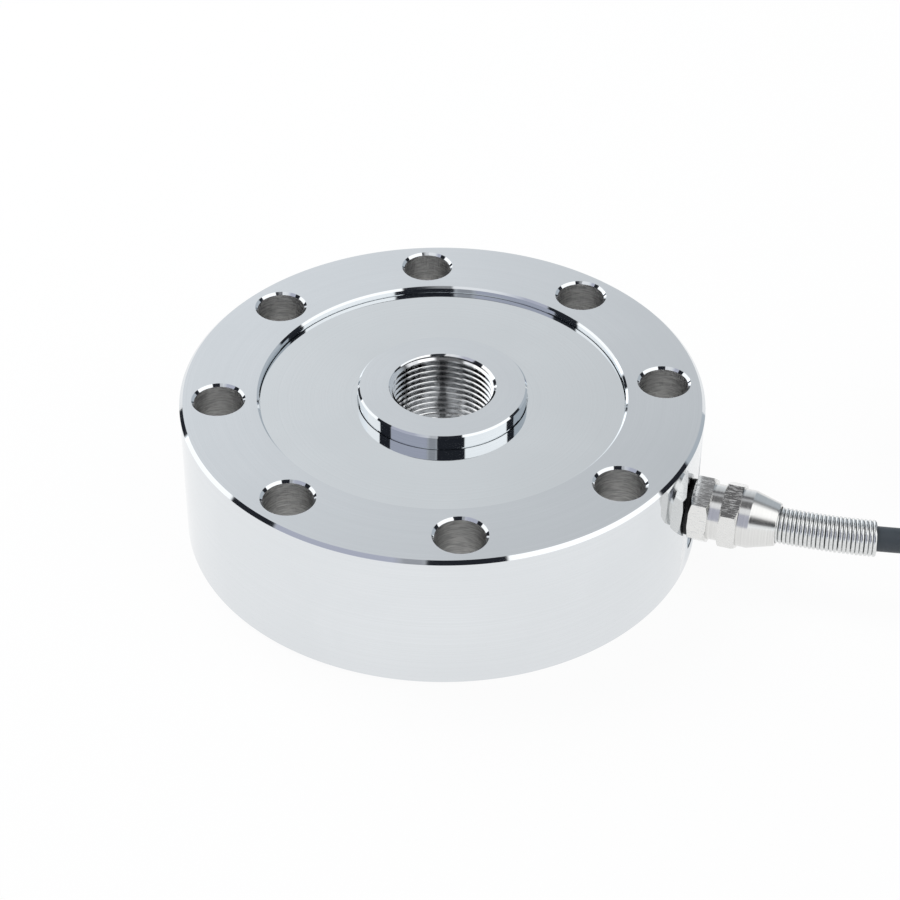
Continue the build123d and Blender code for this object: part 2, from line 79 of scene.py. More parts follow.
@dataclass(frozen=True)
class Layout:
    """Sizes that several sub-assemblies share, as the CAD model has them."""

    rim_radius: float = 0.059
    rim_height: float = 0.0345
    recess_radius: float = 0.04125
    cavity_radius: float = 0.03825
    hub_radius: float = 0.019
    hub_top: float = 0.036
    hub_base: float = 0.001
    shoulder_radius: float = 0.021
    top_seat: float = 0.0315
    bottom_seat: float = 0.004
    base_recess_depth: float = 0.003
    cover_thickness: float = 0.001
    spoke_top: float = 0.027
    spoke_base: float = 0.008
    gland_height: float = 0.0163
    spot_face: float = 0.0581
    gland_thread_radius: float = 0.005
    cable_radius: float = 0.0028

    def axis_centre(self, axis: SpinAxis) -> Vector:
        """A point on a spin axis."""
        return Vector((0, 0, self.gland_height if axis is SpinAxis.GLAND else 0))

    def axis_direction(self, axis: SpinAxis) -> Vector:
        """The direction of a spin axis."""
        return Vector((1, 0, 0) if axis is SpinAxis.GLAND else (0, 0, 1))

    def on_profile(self, axis: SpinAxis, along: float, radius: float) -> Vector:
        """A profile's point in the frame, from its place along the axis and its radius."""
        if axis is SpinAxis.GLAND:
            return Vector((along, 0, self.gland_height + radius))
        return Vector((radius, 0, along))


LAYOUT = Layout()


def select_none() -> None:
    """Deselect every object and leave edit mode."""
    if bpy.context.object and bpy.context.object.mode != "OBJECT":
        bpy.ops.object.mode_set(mode="OBJECT")
    bpy.ops.object.select_all(action="DESELECT")


def pick(piece: bpy.types.Object) -> None:
    """Make a piece the only selected and the active object.

    Args:
        piece: The object to select.
    """
    select_none()
    piece.select_set(True)
    bpy.context.view_layer.objects.active = piece


@contextmanager
def editing(piece: bpy.types.Object, kind: str = "VERT") -> Iterator[bpy.types.Mesh]:
    """Open a piece in edit mode with nothing selected, and close it afterwards.

    Args:
        piece: The mesh object to edit.
        kind: The selection mode, VERT, EDGE or FACE.

    Yields:
        The piece's mesh.
    """
    pick(piece)
    bpy.ops.object.mode_set(mode="EDIT")
    bpy.ops.mesh.select_mode(type=kind)
    bpy.ops.mesh.select_all(action="DESELECT")
    yield piece.data
    bpy.ops.object.mode_set(mode="OBJECT")


def mark(piece: bpy.types.Object, kind: str, test: Callable[[Vector, Vector], bool]) -> int:
    """Select the faces or edges of a piece that pass a test, from object mode.

    Args:
        piece: The mesh object.
        kind: FACE or EDGE.
        test: Takes a face's centre and normal, or an edge's two ends.

    Returns:
        How many were selected.
    """
    mesh = piece.data
    for vertex in mesh.vertices:
        vertex.select = False
    for edge in mesh.edges:
        edge.select = kind == "EDGE" and test(*(mesh.vertices[k].co for k in edge.vertices))
    for face in mesh.polygons:
        face.select = kind == "FACE" and test(face.center, face.normal)
    chosen = mesh.edges if kind == "EDGE" else mesh.polygons
    return sum(1 for item in chosen if item.select)


def name_piece(piece: bpy.types.Object, name: str) -> bpy.types.Object:
    """Give an object and its mesh one name.

    Args:
        piece: The object.
        name: Its new name.

    Returns:
        The same object.
    """
    piece.name = name
    piece.data.name = name
    return piece


def apply_place(piece: bpy.types.Object) -> None:
    """Move a piece's place, turn and scale into its mesh."""
    pick(piece)
    bpy.ops.object.transform_apply(location=True, rotation=True, scale=True)


def close_shell(piece: bpy.types.Object, distance: float = 1e-7) -> None:
    """Merge doubled vertices and point every face outwards.

    Args:
        piece: The mesh object.
        distance: How far apart doubled vertices may lie.
    """
    with editing(piece):
        bpy.ops.mesh.select_all(action="SELECT")
        bpy.ops.mesh.remove_doubles(threshold=distance)
        bpy.ops.mesh.normals_make_consistent(inside=False)


def apply_modifier(piece: bpy.types.Object, kind: str, **settings: object) -> None:
    """Add one modifier to a piece and apply it.

    Args:
        piece: The mesh object.
        kind: The modifier's type.
        **settings: Its values by name.
    """
    pick(piece)
    modifier = piece.modifiers.new(kind.title(), kind)
    for name, value in settings.items():
        setattr(modifier, name, value)
    bpy.ops.object.modifier_apply(modifier=modifier.name)


def cut(piece: bpy.types.Object, tool: bpy.types.Object, mode: CutMode = CutMode.DIFFERENCE) -> None:
    """Cut a piece with a tool, or join the two, and use the tool up.

    Args:
        piece: The object that stays.
        tool: The object that goes.
        mode: What the cut does.
    """
    apply_modifier(piece, "BOOLEAN", object=tool, operation=mode.value, solver="EXACT")
    bpy.data.objects.remove(tool, do_unlink=True)


def join(pieces: Sequence[bpy.types.Object]) -> bpy.types.Object:
    """Make several objects one.

    Args:
        pieces: The objects, the first of which stays.

    Returns:
        The joined object.
    """
    pick(pieces[0])
    for piece in pieces[1:]:
        piece.select_set(True)
    bpy.ops.object.join()
    return pieces[0]


def copy_of(piece: bpy.types.Object) -> bpy.types.Object:
    """A copy of a piece with its own mesh."""
    twin = piece.copy()
    twin.data = piece.data.copy()
    bpy.context.scene.collection.objects.link(twin)
    return twin


def smooth(piece: bpy.types.Object, angle: float = 30.0) -> None:
    """Shade a piece smooth where its faces meet at less than an angle.

    Args:
        piece: The mesh object.
        angle: The limit in degrees.
    """
    pick(piece)
    bpy.ops.object.shade_smooth_by_angle(angle=radians(angle))


def draw_line(name: str, points: Sequence[Vector], closed: bool) -> bpy.types.Object:
    """Draw a line of edges by extruding one vertex from point to point.

    Args:
        name: The new object's name.
        points: The line's corners.
        closed: Whether the last corner joins the first.

    Returns:
        An object that holds the edges alone.
    """
    select_none()
    bpy.ops.mesh.primitive_plane_add(size=0.001, location=points[0])
    piece = name_piece(bpy.context.object, name)
    apply_place(piece)
    with editing(piece):
        bpy.ops.mesh.select_all(action="SELECT")
        bpy.ops.mesh.merge(type="CENTER")
        route = [*points, points[0]] if closed else list(points)
        for here, there in zip(route, route[1:]):
            bpy.ops.mesh.extrude_vertices_move(TRANSFORM_OT_translate={"value": there - here})
    close_shell(piece)
    return piece


def new_curve(
    name: str, kind: str, points: Sequence[Vector], radius: float, rounding: int
) -> bpy.types.Object:
    """A curve object with a round section and closed ends, through or near some points.

    Args:
        name: The new object's name.
        kind: The spline's type, POLY or NURBS.
        points: The spline's points in order.
        radius: The section's radius, or 0 for the bare line.
        rounding: How finely the section is rounded.

    Returns:
        The curve object.
    """
    curve = bpy.data.curves.new(name, "CURVE")
    curve.dimensions = "3D"
    curve.bevel_depth = radius
    curve.bevel_resolution = rounding
    curve.use_fill_caps = True
    spline = curve.splines.new(kind)
    spline.points.add(len(points) - 1)
    for control, point in zip(spline.points, points):
        control.co = (*point, 1)
    piece = bpy.data.objects.new(name, curve)
    bpy.context.scene.collection.objects.link(piece)
    return piece


@dataclass(frozen=True)
class Turned:
    """A piece of revolution, from its profile of (along the axis, radius) pairs."""

    name: str
    profile: Sequence[Pair]
    axis: SpinAxis = SpinAxis.LOADING
    steps: int = 256
    closed: bool = True

    def build(self) -> bpy.types.Object:
        """Draw the profile and spin it all the way round."""
        points = [LAYOUT.on_profile(self.axis, along, radius) for along, radius in self.profile]
        piece = draw_line(self.name, points, self.closed)
        with editing(piece):
            bpy.ops.mesh.select_all(action="SELECT")
            bpy.ops.mesh.spin(
                steps=self.steps,
                angle=2 * pi,
                center=LAYOUT.axis_centre(self.axis),
                axis=LAYOUT.axis_direction(self.axis),
                use_auto_merge=True,
            )
        close_shell(piece, distance=1e-6)
        return piece


def gland_core(name: str, profile: Sequence[Pair], steps: int) -> bpy.types.Object:
    """A solid turned about the gland's axis, from a profile that starts and ends on it.

    Args:
        name: The new object's name.
        profile: Pairs of (along the axis, radius).
        steps: How many facets go round it.

    Returns:
        The solid.
    """
    return Turned(name, profile, SpinAxis.GLAND, steps, closed=False).build()


def rod(name: str, radius: float, start: Vector, end: Vector, sides: int) -> bpy.types.Object:
    """A straight prism or round bar between two points.

    Args:
        name: The new object's name.
        radius: Its radius, to a corner if it has few sides.
        start: The centre of one end.
        end: The centre of the other end.
        sides: How many sides it has.

    Returns:
        The object, at the origin.
    """
    select_none()
    span = end - start
    bpy.ops.mesh.primitive_cylinder_add(
        vertices=sides,
        radius=radius,
        depth=span.length,
        location=(start + end) / 2,
        rotation=span.to_track_quat("Z", "Y").to_euler(),
    )
    piece = name_piece(bpy.context.object, name)
    apply_place(piece)
    return piece


def box(name: str, size: Triple, centre: Triple, turn: float = 0.0) -> bpy.types.Object:
    """A box about a centre, turned about the loading axis.

    Args:
        name: The new object's name.
        size: Its lengths along X, Y and Z before it is turned.
        centre: Its centre before it is turned about the frame's Z axis.
        turn: The turn in degrees.

    Returns:
        The object, at the origin.
    """
    select_none()
    bpy.ops.mesh.primitive_cube_add(size=1, location=(0, 0, 0))
    piece = name_piece(bpy.context.object, name)
    place = Matrix.Rotation(radians(turn), 4, "Z") @ Matrix.Translation(centre)
    piece.matrix_world = place @ Matrix.Diagonal((*size, 1))
    apply_place(piece)
    return piece


class Wiring:
    """Adds nodes to one shader tree and feeds their inputs."""

    def __init__(self, tree: bpy.types.NodeTree) -> None:
        """Take the tree that the nodes go into."""
        self.nodes = tree.nodes
        self.links = tree.links

    def add(self, kind: str, inputs: dict | None = None, **settings: object) -> bpy.types.Node:
        """Add a node, set its properties and then feed its inputs.

        Args:
            kind: The node's type after its first word, ShaderNode.
            inputs: A socket to link or a value to set, by the input's name or number.
            **settings: The node's properties.

        Returns:
            The node.
        """
        node = self.nodes.new(f"ShaderNode{kind}")
        for name, value in settings.items():
            setattr(node, name, value)
        for place, value in (inputs or {}).items():
            if isinstance(value, bpy.types.NodeSocket):
                self.links.new(value, node.inputs[place])
            else:
                node.inputs[place].default_value = value
        return node

    def math(self, operation: str, *values: object) -> bpy.types.NodeSocket:
        """A math node on sockets or plain numbers; gives back its result."""
        return self.add("Math", dict(enumerate(values)), operation=operation).outputs[0]

    def dot(self, vector: bpy.types.NodeSocket, fixed: Triple) -> bpy.types.NodeSocket:
        """The dot product of a vector socket and a fixed vector."""
        node = self.add("VectorMath", {0: vector, 1: fixed}, operation="DOT_PRODUCT")
        return node.outputs["Value"]

    def length(self, vector: bpy.types.NodeSocket) -> bpy.types.NodeSocket:
        """The length of a vector socket."""
        return self.add("VectorMath", {0: vector}, operation="LENGTH").outputs["Value"]


def new_group(
    name: str, inputs: Sequence[tuple[str, str, float | None]], outputs: Sequence[str]
) -> tuple[bpy.types.NodeTree, bpy.types.Node, bpy.types.Node]:
    """Make an empty shader node group with named sockets.

    Args:
        name: The group's name.
        inputs: Name, socket type and default value, if any, of each input.
        outputs: Name of each output, which are plain values.

    Returns:
        The group, its input node and its output node.
    """
    group = bpy.data.node_groups.new(name, "ShaderNodeTree")
    for label, kind, value in inputs:
        socket = group.interface.new_socket(name=label, in_out="INPUT", socket_type=kind)
        if value is not None:
            socket.default_value = value
    for label in outputs:
        group.interface.new_socket(name=label, in_out="OUTPUT", socket_type="NodeSocketFloat")
    return group, group.nodes.new("NodeGroupInput"), group.nodes.new("NodeGroupOutput")


def turning_marks_group() -> bpy.types.NodeTree:
    """Marks of a lathe tool: fine rings round the axis that the vector's Z runs along.

    Returns:
        A group that puts out the marks' height, and a slower streak mask.
    """
    group, entry, leave = new_group(
        "turning_marks",
        [("Vector", "NodeSocketVector", None), ("Rings", "NodeSocketFloat", 4000.0)],
        ["Height", "Streak"],
    )
    tree = Wiring(group)
    vector = entry.outputs["Vector"]
    split = tree.add("SeparateXYZ", {0: vector}).outputs
    flat = tree.add("CombineXYZ", {"X": split["X"], "Y": split["Y"]}).outputs[0]
    place = tree.add("CombineXYZ", {"X": tree.length(flat), "Y": split["Z"]}).outputs[0]
    scaled = tree.add("VectorMath", {0: place, "Scale": entry.outputs["Rings"]}, operation="SCALE")
    ring_noise = {"Vector": scaled.outputs[0], "Scale": 1.0, "Detail": 3.0}
    rings = tree.add("TexNoise", ring_noise, noise_dimensions="2D").outputs["Fac"]
    slow_noise = {"Vector": vector, "Scale": 38.0, "Detail": 4.0, "Distortion": 0.6}
    slow = tree.add("TexNoise", slow_noise).outputs["Fac"]
    tree.links.new(rings, leave.inputs["Height"])
    tree.links.new(tree.math("MULTIPLY", rings, slow), leave.inputs["Streak"])
    return group


def grain_group() -> bpy.types.NodeTree:
    """Fine grain with slow clouds, for moulded, sprayed and drawn surfaces.

    Returns:
        A group that puts out a fine height and a cloudy mask.
    """
    group, entry, leave = new_group(
        "grain",
        [
            ("Vector", "NodeSocketVector", None),
            ("Fine", "NodeSocketFloat", 3000.0),
            ("Cloud", "NodeSocketFloat", 120.0),
        ],
        ["Height", "Cloud"],
    )
    tree = Wiring(group)
    for size, detail, result in (("Fine", 2.0, "Height"), ("Cloud", 4.0, "Cloud")):
        feeds = {"Vector": entry.outputs["Vector"], "Scale": entry.outputs[size], "Detail": detail}
        noise = tree.add("TexNoise", feeds)
        tree.links.new(noise.outputs["Fac"], leave.inputs[result])
    return group


class Effects:
    """The shader node groups, each built once and shared by the finishes."""

    def __init__(self) -> None:
        """Build every group."""
        self.turning_marks = turning_marks_group()
        self.grain = grain_group()


EFFECTS = Effects()


class Shading(Wiring):
    """One material's node tree, with the few steps that the finishes share."""

    def __init__(self, name: str) -> None:
        """Start a material with its shader alone.

        Args:
            name: The material's name.
        """
        self.material = bpy.data.materials.new(name)
        self.material.use_nodes = True
        super().__init__(self.material.node_tree)
        self.shader = self.nodes["Principled BSDF"]

    def vector(
        self, centre: Triple = (0, 0, 0), turn: Triple = (0, 0, 0), scale: Triple = (1, 1, 1)
    ) -> bpy.types.NodeSocket:
        """Object coordinates, moved to a centre, turned and scaled.

        Args:
            centre: The point that becomes the pattern's origin.
            turn: Degrees about X, Y and Z.
            scale: Factors along X, Y and Z.

        Returns:
            The vector socket.
        """
        feeds = {
            "Vector": self.add("TexCoord").outputs["Object"],
            "Location": centre,
            "Rotation": [radians(part) for part in turn],
            "Scale": scale,
        }
        return self.add("Mapping", feeds, vector_type="TEXTURE").outputs["Vector"]

    def group(
        self, tree: bpy.types.NodeTree, vector: bpy.types.NodeSocket, **values: float
    ) -> bpy.types.Node:
        """Place a shared group, feed it a vector and set its other inputs by name."""
        return self.add("Group", {"Vector": vector, **values}, node_tree=tree)

    def between(
        self, mask: bpy.types.NodeSocket, low: float, high: float, lowest: float, highest: float
    ) -> bpy.types.NodeSocket:
        """Spread a mask between two values.

        Args:
            mask: The socket to read.
            low: The mask value that gives the first result.
            high: The mask value that gives the second result.
            lowest: The first result.
            highest: The second result.

        Returns:
            The result's socket.
        """
        limits = {"From Min": low, "From Max": high, "To Min": lowest, "To Max": highest}
        return self.add("MapRange", {"Value": mask, **limits}).outputs["Result"]

    def tint(
        self, mask: bpy.types.NodeSocket, colours: Sequence[Colour], places: Pair = (0.35, 0.65)
    ) -> bpy.types.NodeSocket:
        """Blend two colours by a mask.

        Args:
            mask: The socket to read.
            colours: The colour where the mask is low, and where it is high.
            places: The mask values that count as low and high.

        Returns:
            The colour socket.
        """
        ramp = self.add("ValToRGB", {"Fac": mask})
        for element, place, colour in zip(ramp.color_ramp.elements, places, colours):
            element.position = place
            element.color = (*colour, 1)
        return ramp.outputs["Color"]

    def bump(self, height: bpy.types.NodeSocket, distance: float) -> None:
        """Feed a height to the shader's normal.

        Args:
            height: The height socket.
            distance: The height's depth in metres.
        """
        node = self.add("Bump", {"Height": height, "Distance": distance, "Strength": 1.0})
        self.feed(node.outputs["Normal"], "Normal")

    def feed(self, socket: bpy.types.NodeSocket, name: str) -> None:
        """Link a socket to one of the shader's inputs."""
        self.links.new(socket, self.shader.inputs[name])

    def set(self, **values: object) -> None:
        """Set plain values on the shader, with _ for each space in a name."""
        for name, value in values.items():
            self.shader.inputs[name.replace("_", " ")].default_value = value


@dataclass(frozen=True)
class TurnedMetal:
    """Bright metal with the fine rings that a lathe or a grinder leaves."""

    name: str
    dark: Colour
    light: Colour
    roughness: Pair
    rings: float = 5200.0
    depth: float = 1.2e-7
    centre: Triple = (0, 0, 0)
    turn: Triple = (0, 0, 0)
    streak_span: Pair = (0.1, 0.45)

    def build(self) -> bpy.types.Material:
        """Make the material."""
        shading = Shading(self.name)
        vector = shading.vector(self.centre, self.turn)
        marks = shading.group(EFFECTS.turning_marks, vector, Rings=self.rings)
        shading.set(Metallic=1.0)
        streak, span = marks.outputs["Streak"], self.streak_span
        shading.feed(shading.tint(streak, (self.dark, self.light), span), "Base Color")
        shading.feed(shading.between(streak, *span, *self.roughness), "Roughness")
        shading.bump(marks.outputs["Height"], self.depth)
        return shading.material


@dataclass(frozen=True)
class GrainedMetal:
    """Plated or drilled metal with an even fine grain, stretched where a cutter dragged it."""

    name: str
    dark: Colour
    light: Colour
    roughness: Pair
    fine: float = 2600.0
    depth: float = 4e-7
    stretch: Triple = (1, 1, 1)
    stroked: bool = False
    cloud: float = 260.0
    cloud_span: Pair = (0.3, 0.7)
    stroke_span: Pair = (0.46, 0.66)

    def build(self) -> bpy.types.Material:
        """Make the material, whose roughness follows the cutter's strokes or slow clouds."""
        shading = Shading(self.name)
        vector = shading.vector(scale=self.stretch)
        grain = shading.group(EFFECTS.grain, vector, Fine=self.fine, Cloud=self.cloud)
        shading.set(Metallic=1.0)
        height = grain.outputs["Height"]
        shading.feed(shading.tint(height, (self.dark, self.light)), "Base Color")
        mask = height if self.stroked else grain.outputs["Cloud"]
        span = self.stroke_span if self.stroked else self.cloud_span
        shading.feed(shading.between(mask, *span, *self.roughness), "Roughness")
        shading.bump(grain.outputs["Height"], self.depth)
        return shading.material


@dataclass(frozen=True)
class Plastic:
    """Moulded, extruded or shrunk plastic, rubber, enamel or ceramic."""

    name: str
    dark: Colour
    light: Colour
    roughness: Pair
    fine: float = 3000.0
    cloud: float = 160.0
    depth: float = 6e-6
    cloud_span: Pair = (0.3, 0.7)

    def build(self) -> bpy.types.Material:
        """Make the material."""
        shading = Shading(self.name)
        grain = shading.group(EFFECTS.grain, shading.vector(), Fine=self.fine, Cloud=self.cloud)
        cloud = grain.outputs["Cloud"]
        shading.feed(shading.tint(cloud, (self.dark, self.light)), "Base Color")
        shading.feed(shading.between(cloud, *self.cloud_span, *self.roughness), "Roughness")
        shading.bump(grain.outputs["Height"], self.depth)
        return shading.material


# Plain coverings: the dark colour, the light colour and the roughness from least to most.
COVERINGS: dict[str, tuple[Colour, Colour, Pair]] = {
    "seal_rubber": ((0.010, 0.010, 0.011), (0.02, 0.02, 0.021), (0.5, 0.62)),
    "sleeve_shrink": ((0.012, 0.012, 0.013), (0.02, 0.02, 0.022), (0.32, 0.42)),
    "tie_nylon": ((0.014, 0.014, 0.015), (0.024, 0.024, 0.026), (0.34, 0.46)),
    "gauge_film": ((0.42, 0.20, 0.05), (0.56, 0.29, 0.09), (0.28, 0.36)),
    "lead_wire": ((0.36, 0.05, 0.035), (0.48, 0.08, 0.05), (0.2, 0.3)),
    "board_laminate": ((0.02, 0.12, 0.06), (0.03, 0.17, 0.09), (0.3, 0.4)),
    "resistor_ceramic": ((0.03, 0.03, 0.035), (0.05, 0.05, 0.055), (0.3, 0.4)),
    "core_red": ((0.42, 0.012, 0.010), (0.5, 0.02, 0.015), (0.3, 0.4)),
    "core_black": ((0.010, 0.010, 0.010), (0.018, 0.018, 0.018), (0.3, 0.4)),
    "core_green": ((0.012, 0.20, 0.05), (0.02, 0.26, 0.07), (0.3, 0.4)),
    "core_white": ((0.68, 0.68, 0.65), (0.76, 0.76, 0.73), (0.3, 0.4)),
}


class Finishes:
    """Every finish of the load cell, built once."""

    def __init__(self) -> None:
        """Build the materials."""
        self.body = TurnedMetal(
            "body_steel", (0.725, 0.75, 0.772), (0.765, 0.79, 0.812), (0.03, 0.07), depth=1.5e-8
        ).build()
        self.cover = TurnedMetal(
            "cover_steel", (0.75, 0.775, 0.79), (0.80, 0.825, 0.84), (0.03, 0.07), depth=2.5e-8
        ).build()
        self.drilled = GrainedMetal(
            "drilled_steel",
            (0.62, 0.62, 0.62),
            (0.95, 0.95, 0.94),
            (0.3, 0.44),
            fine=420.0,
            depth=1e-5,
            stretch=(1, 1, 0.14),
        ).build()
        self.thread = GrainedMetal(
            "thread_steel", (0.78, 0.79, 0.80), (0.86, 0.87, 0.88), (0.05, 0.1), depth=4e-8
        ).build()
        self.nickel = TurnedMetal(
            "gland_nickel",
            (0.70, 0.70, 0.69),
            (0.82, 0.82, 0.81),
            (0.16, 0.26),
            rings=3600.0,
            depth=1e-7,
            centre=(0, 0, LAYOUT.gland_height),
            turn=(0, 90, 0),
        ).build()
        self.milled = GrainedMetal(
            "milled_nickel",
            (0.76, 0.76, 0.75),
            (0.82, 0.82, 0.81),
            (0.1, 0.4),
            fine=1700.0,
            depth=5e-6,
            stretch=(3.0, 0.4, 0.4),
            stroked=True,
        ).build()
        self.spring = GrainedMetal(
            "spring_steel", (0.68, 0.69, 0.69), (0.78, 0.79, 0.79), (0.14, 0.22), depth=3e-8
        ).build()
        self.braid = GrainedMetal(
            "shield_braid",
            (0.42, 0.41, 0.38),
            (0.7, 0.68, 0.63),
            (0.3, 0.45),
            fine=4200.0,
            depth=1.4e-5,
        ).build()
        self.jacket = Plastic(
            "cable_jacket",
            (0.036, 0.046, 0.056),
            (0.05, 0.062, 0.074),
            (0.5, 0.62),
            fine=2600.0,
            cloud=90.0,
            depth=8e-6,
        ).build()
        self.plain = {name: Plastic(name, *parts).build() for name, parts in COVERINGS.items()}


def dress(piece: bpy.types.Object, *materials: bpy.types.Material) -> None:
    """Replace a piece's materials.

    Args:
        piece: The object.
        *materials: Its new materials, the first for every face.
    """
    piece.data.materials.clear()
    for material in materials:
        piece.data.materials.append(material)


def seat(piece: bpy.types.Object, slot: str, *nodes: str) -> bpy.types.Object:
    """Ride a finished piece on the body and let it stand for CAD nodes.

    Args:
        piece: The finished object.
        slot: Not used.
        *nodes: The CAD nodes that it stands for.

    Returns:
        The same object.
    """
    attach(piece, "root")
    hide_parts(*nodes)
    log.info("%s: %d faces, for %s", piece.name, len(piece.data.polygons), ", ".join(nodes))
    return piece


@dataclass
class SensorBody:
    """The turned and milled body: rim, spokes and hub, with its holes and its centre thread."""

    rim_chamfer: float = 0.00075
    recess_chamfer: float = 0.00045
    hub_chamfer: float = 0.0004
    bolt_count: int = 8
    bolt_circle_radius: float = 0.05025
    bolt_radius: float = 0.0055
    bolt_chamfer: float = 0.00055
    thread_radius: float = 0.012
    thread_pitch: float = 0.0015
    thread_mouth_radius: float = 0.0121
    thread_half_angle: float = 30.0
    thread_spare_turns: int = 3
    thread_steps: int = 128
    spoke_angles: Sequence[float] = (45.0, 135.0, 225.0, 315.0)
    spoke_width: float = 0.013
    spoke_root_radius: float = 0.003
    spoke_root_segments: int = 8
    gauge_pocket_radius: float = 0.006
    gauge_steps: int = 64
    web_thickness: float = 0.006
    spot_face_radius: float = 0.0064
    tapped_depth: float = 0.0101
    passage_radius: float = 0.0032
    overrun: float = 0.002
    pocket_overrun: float = 0.0005
    hole_steps: int = 96
    steps: int = 512
    smooth_angle: float = 28.0
    # How near an edge or a face lies to a wall that it belongs to.
    on_wall: float = 1e-5
    beside_wall: float = 1e-4
    round_hole: float = 1e-3
    # How far a normal points up or down on a level face, and on a sloping one.
    level: float = 0.95
    sloping: float = 0.5

    @property
    def minor_radius(self) -> float:
        """Radius over the crests of the inner thread."""
        return self.thread_radius - THREAD_DEPTH_PER_PITCH * self.thread_pitch

    def blank(self) -> bpy.types.Object:
        """The turned blank, with its recesses, seats and chamfers."""
        lay = LAYOUT
        rim, recess, hub = self.rim_chamfer, self.recess_chamfer, self.hub_chamfer
        profile = [
            (rim, lay.rim_radius),
            (lay.rim_height - rim, lay.rim_radius),
            (lay.rim_height, lay.rim_radius - rim),
            (lay.rim_height, lay.recess_radius + recess),
            (lay.rim_height - recess, lay.recess_radius),
            (lay.top_seat, lay.recess_radius),
            (lay.top_seat, lay.cavity_radius),
            (lay.spoke_top, lay.cavity_radius),
            (lay.spoke_top, lay.shoulder_radius),
            (lay.top_seat, lay.shoulder_radius),
            (lay.top_seat, lay.hub_radius),
            (lay.hub_top - hub, lay.hub_radius),
            (lay.hub_top, lay.hub_radius - hub),
            (lay.hub_top, 0),
            (lay.hub_base, 0),
            (lay.hub_base, lay.hub_radius - hub),
            (lay.hub_base + hub, lay.hub_radius),
            (lay.bottom_seat, lay.hub_radius),
            (lay.bottom_seat, lay.shoulder_radius),
            (lay.spoke_base, lay.shoulder_radius),
            (lay.spoke_base, lay.cavity_radius),
            (lay.bottom_seat, lay.cavity_radius),
            (lay.bottom_seat, lay.recess_radius),
            (recess, lay.recess_radius),
            (0, lay.recess_radius + recess),
            (0, lay.rim_radius - rim),
        ]
        return Turned("sensor_body_fine", profile, steps=self.steps).build()

    def bolt_tools(self) -> bpy.types.Object:
        """The drills of the bolt circle with the countersinks at the rim's face, as one tool."""
        height, wide = LAYOUT.rim_height, self.bolt_chamfer + self.overrun
        profile = [
            (-self.overrun, 0),
            (-self.overrun, self.bolt_radius),
            (height - self.bolt_chamfer, self.bolt_radius),
            (height + self.overrun, self.bolt_radius + wide),
            (height + self.overrun, 0),
        ]
        first = Turned("bolt_tool", profile, steps=self.hole_steps, closed=False).build()
        drills = [first, *(copy_of(first) for _ in range(self.bolt_count - 1))]
        for number, drill in enumerate(drills):
            drill.location = Matrix.Rotation(self.bolt_angle(number), 3, "Z") @ Vector(
                (self.bolt_circle_radius, 0, 0)
            )
            apply_place(drill)
        return join(drills)

    def bolt_angle(self, number: int) -> float:
        """The angle of one bolt hole, in radians."""
        return 2 * pi * (number + 0.5) / self.bolt_count

    def gland_tool(self) -> bpy.types.Object:
        """The spot face, tapped hole and passage that the gland needs."""
        lay = LAYOUT
        profile = [
            (lay.cavity_radius - self.overrun, 0),
            (lay.cavity_radius - self.overrun, self.passage_radius),
            (lay.spot_face - self.tapped_depth, self.passage_radius),
            (lay.spot_face - self.tapped_depth, lay.gland_thread_radius),
            (lay.spot_face, lay.gland_thread_radius),
            (lay.spot_face, self.spot_face_radius),
            (lay.rim_radius + self.overrun, self.spot_face_radius),
            (lay.rim_radius + self.overrun, 0),
        ]
        return gland_core("gland_tool", profile, self.hole_steps)

    def pocket_tool(self) -> bpy.types.Object:
        """The four pockets between the spokes, with their rounded roots."""
        lay = LAYOUT
        height = lay.spoke_top - lay.spoke_base
        middle = (lay.spoke_top + lay.spoke_base) / 2
        profile = [
            (lay.spoke_base - self.pocket_overrun, lay.shoulder_radius),
            (lay.spoke_base - self.pocket_overrun, lay.cavity_radius),
            (lay.spoke_top + self.pocket_overrun, lay.cavity_radius),
            (lay.spoke_top + self.pocket_overrun, lay.shoulder_radius),
        ]
        ring = Turned("pocket_tool", profile, steps=self.steps).build()
        # One bar right across leaves the place of two opposite spokes.
        for turn in self.spoke_angles[:2]:
            size = (2 * lay.recess_radius, self.spoke_width, 2 * height)
            cut(ring, box("spoke_bar", size, (0, 0, middle), turn))
        flat = self.spoke_width / 2

        def is_root(one: Vector, two: Vector) -> bool:
            """Whether an edge is an upright corner of a pocket."""
            if abs(one.z - two.z) < height / 2:
                return False
            along = max(abs(one.x + one.y), abs(one.x - one.y)) / sqrt(2)
            across = min(abs(one.x + one.y), abs(one.x - one.y)) / sqrt(2)
            reach = sqrt(along**2 + across**2)
            off_wall = min(abs(reach - lay.shoulder_radius), abs(reach - lay.cavity_radius))
            return off_wall < self.on_wall and abs(across - flat) < self.on_wall

        found = mark(ring, "EDGE", is_root)
        log.info("pocket corners rounded: %d", found)
        pick(ring)
        bpy.ops.object.mode_set(mode="EDIT")
        bpy.ops.mesh.select_mode(type="EDGE")
        bpy.ops.mesh.bevel(
            offset=self.spoke_root_radius, segments=self.spoke_root_segments, affect="EDGES"
        )
        bpy.ops.object.mode_set(mode="OBJECT")
        return ring

    def gauge_tools(self) -> bpy.types.Object:
        """The round pockets that thin each spoke to a web."""
        lay = LAYOUT
        radius = (lay.shoulder_radius + lay.cavity_radius) / 2
        middle = (lay.spoke_top + lay.spoke_base) / 2
        tools = []
        for turn in self.spoke_angles:
            along = Vector((cos(radians(turn)), sin(radians(turn)), 0))
            across = Vector((-along.y, along.x, 0))
            centre = along * radius + Vector((0, 0, middle))
            for side in (-1, 1):
                start = centre + across * side * self.web_thickness / 2
                end = centre + across * side * self.spoke_width
                tools.append(rod("gauge_tool", self.gauge_pocket_radius, start, end, self.gauge_steps))
        return join(tools)

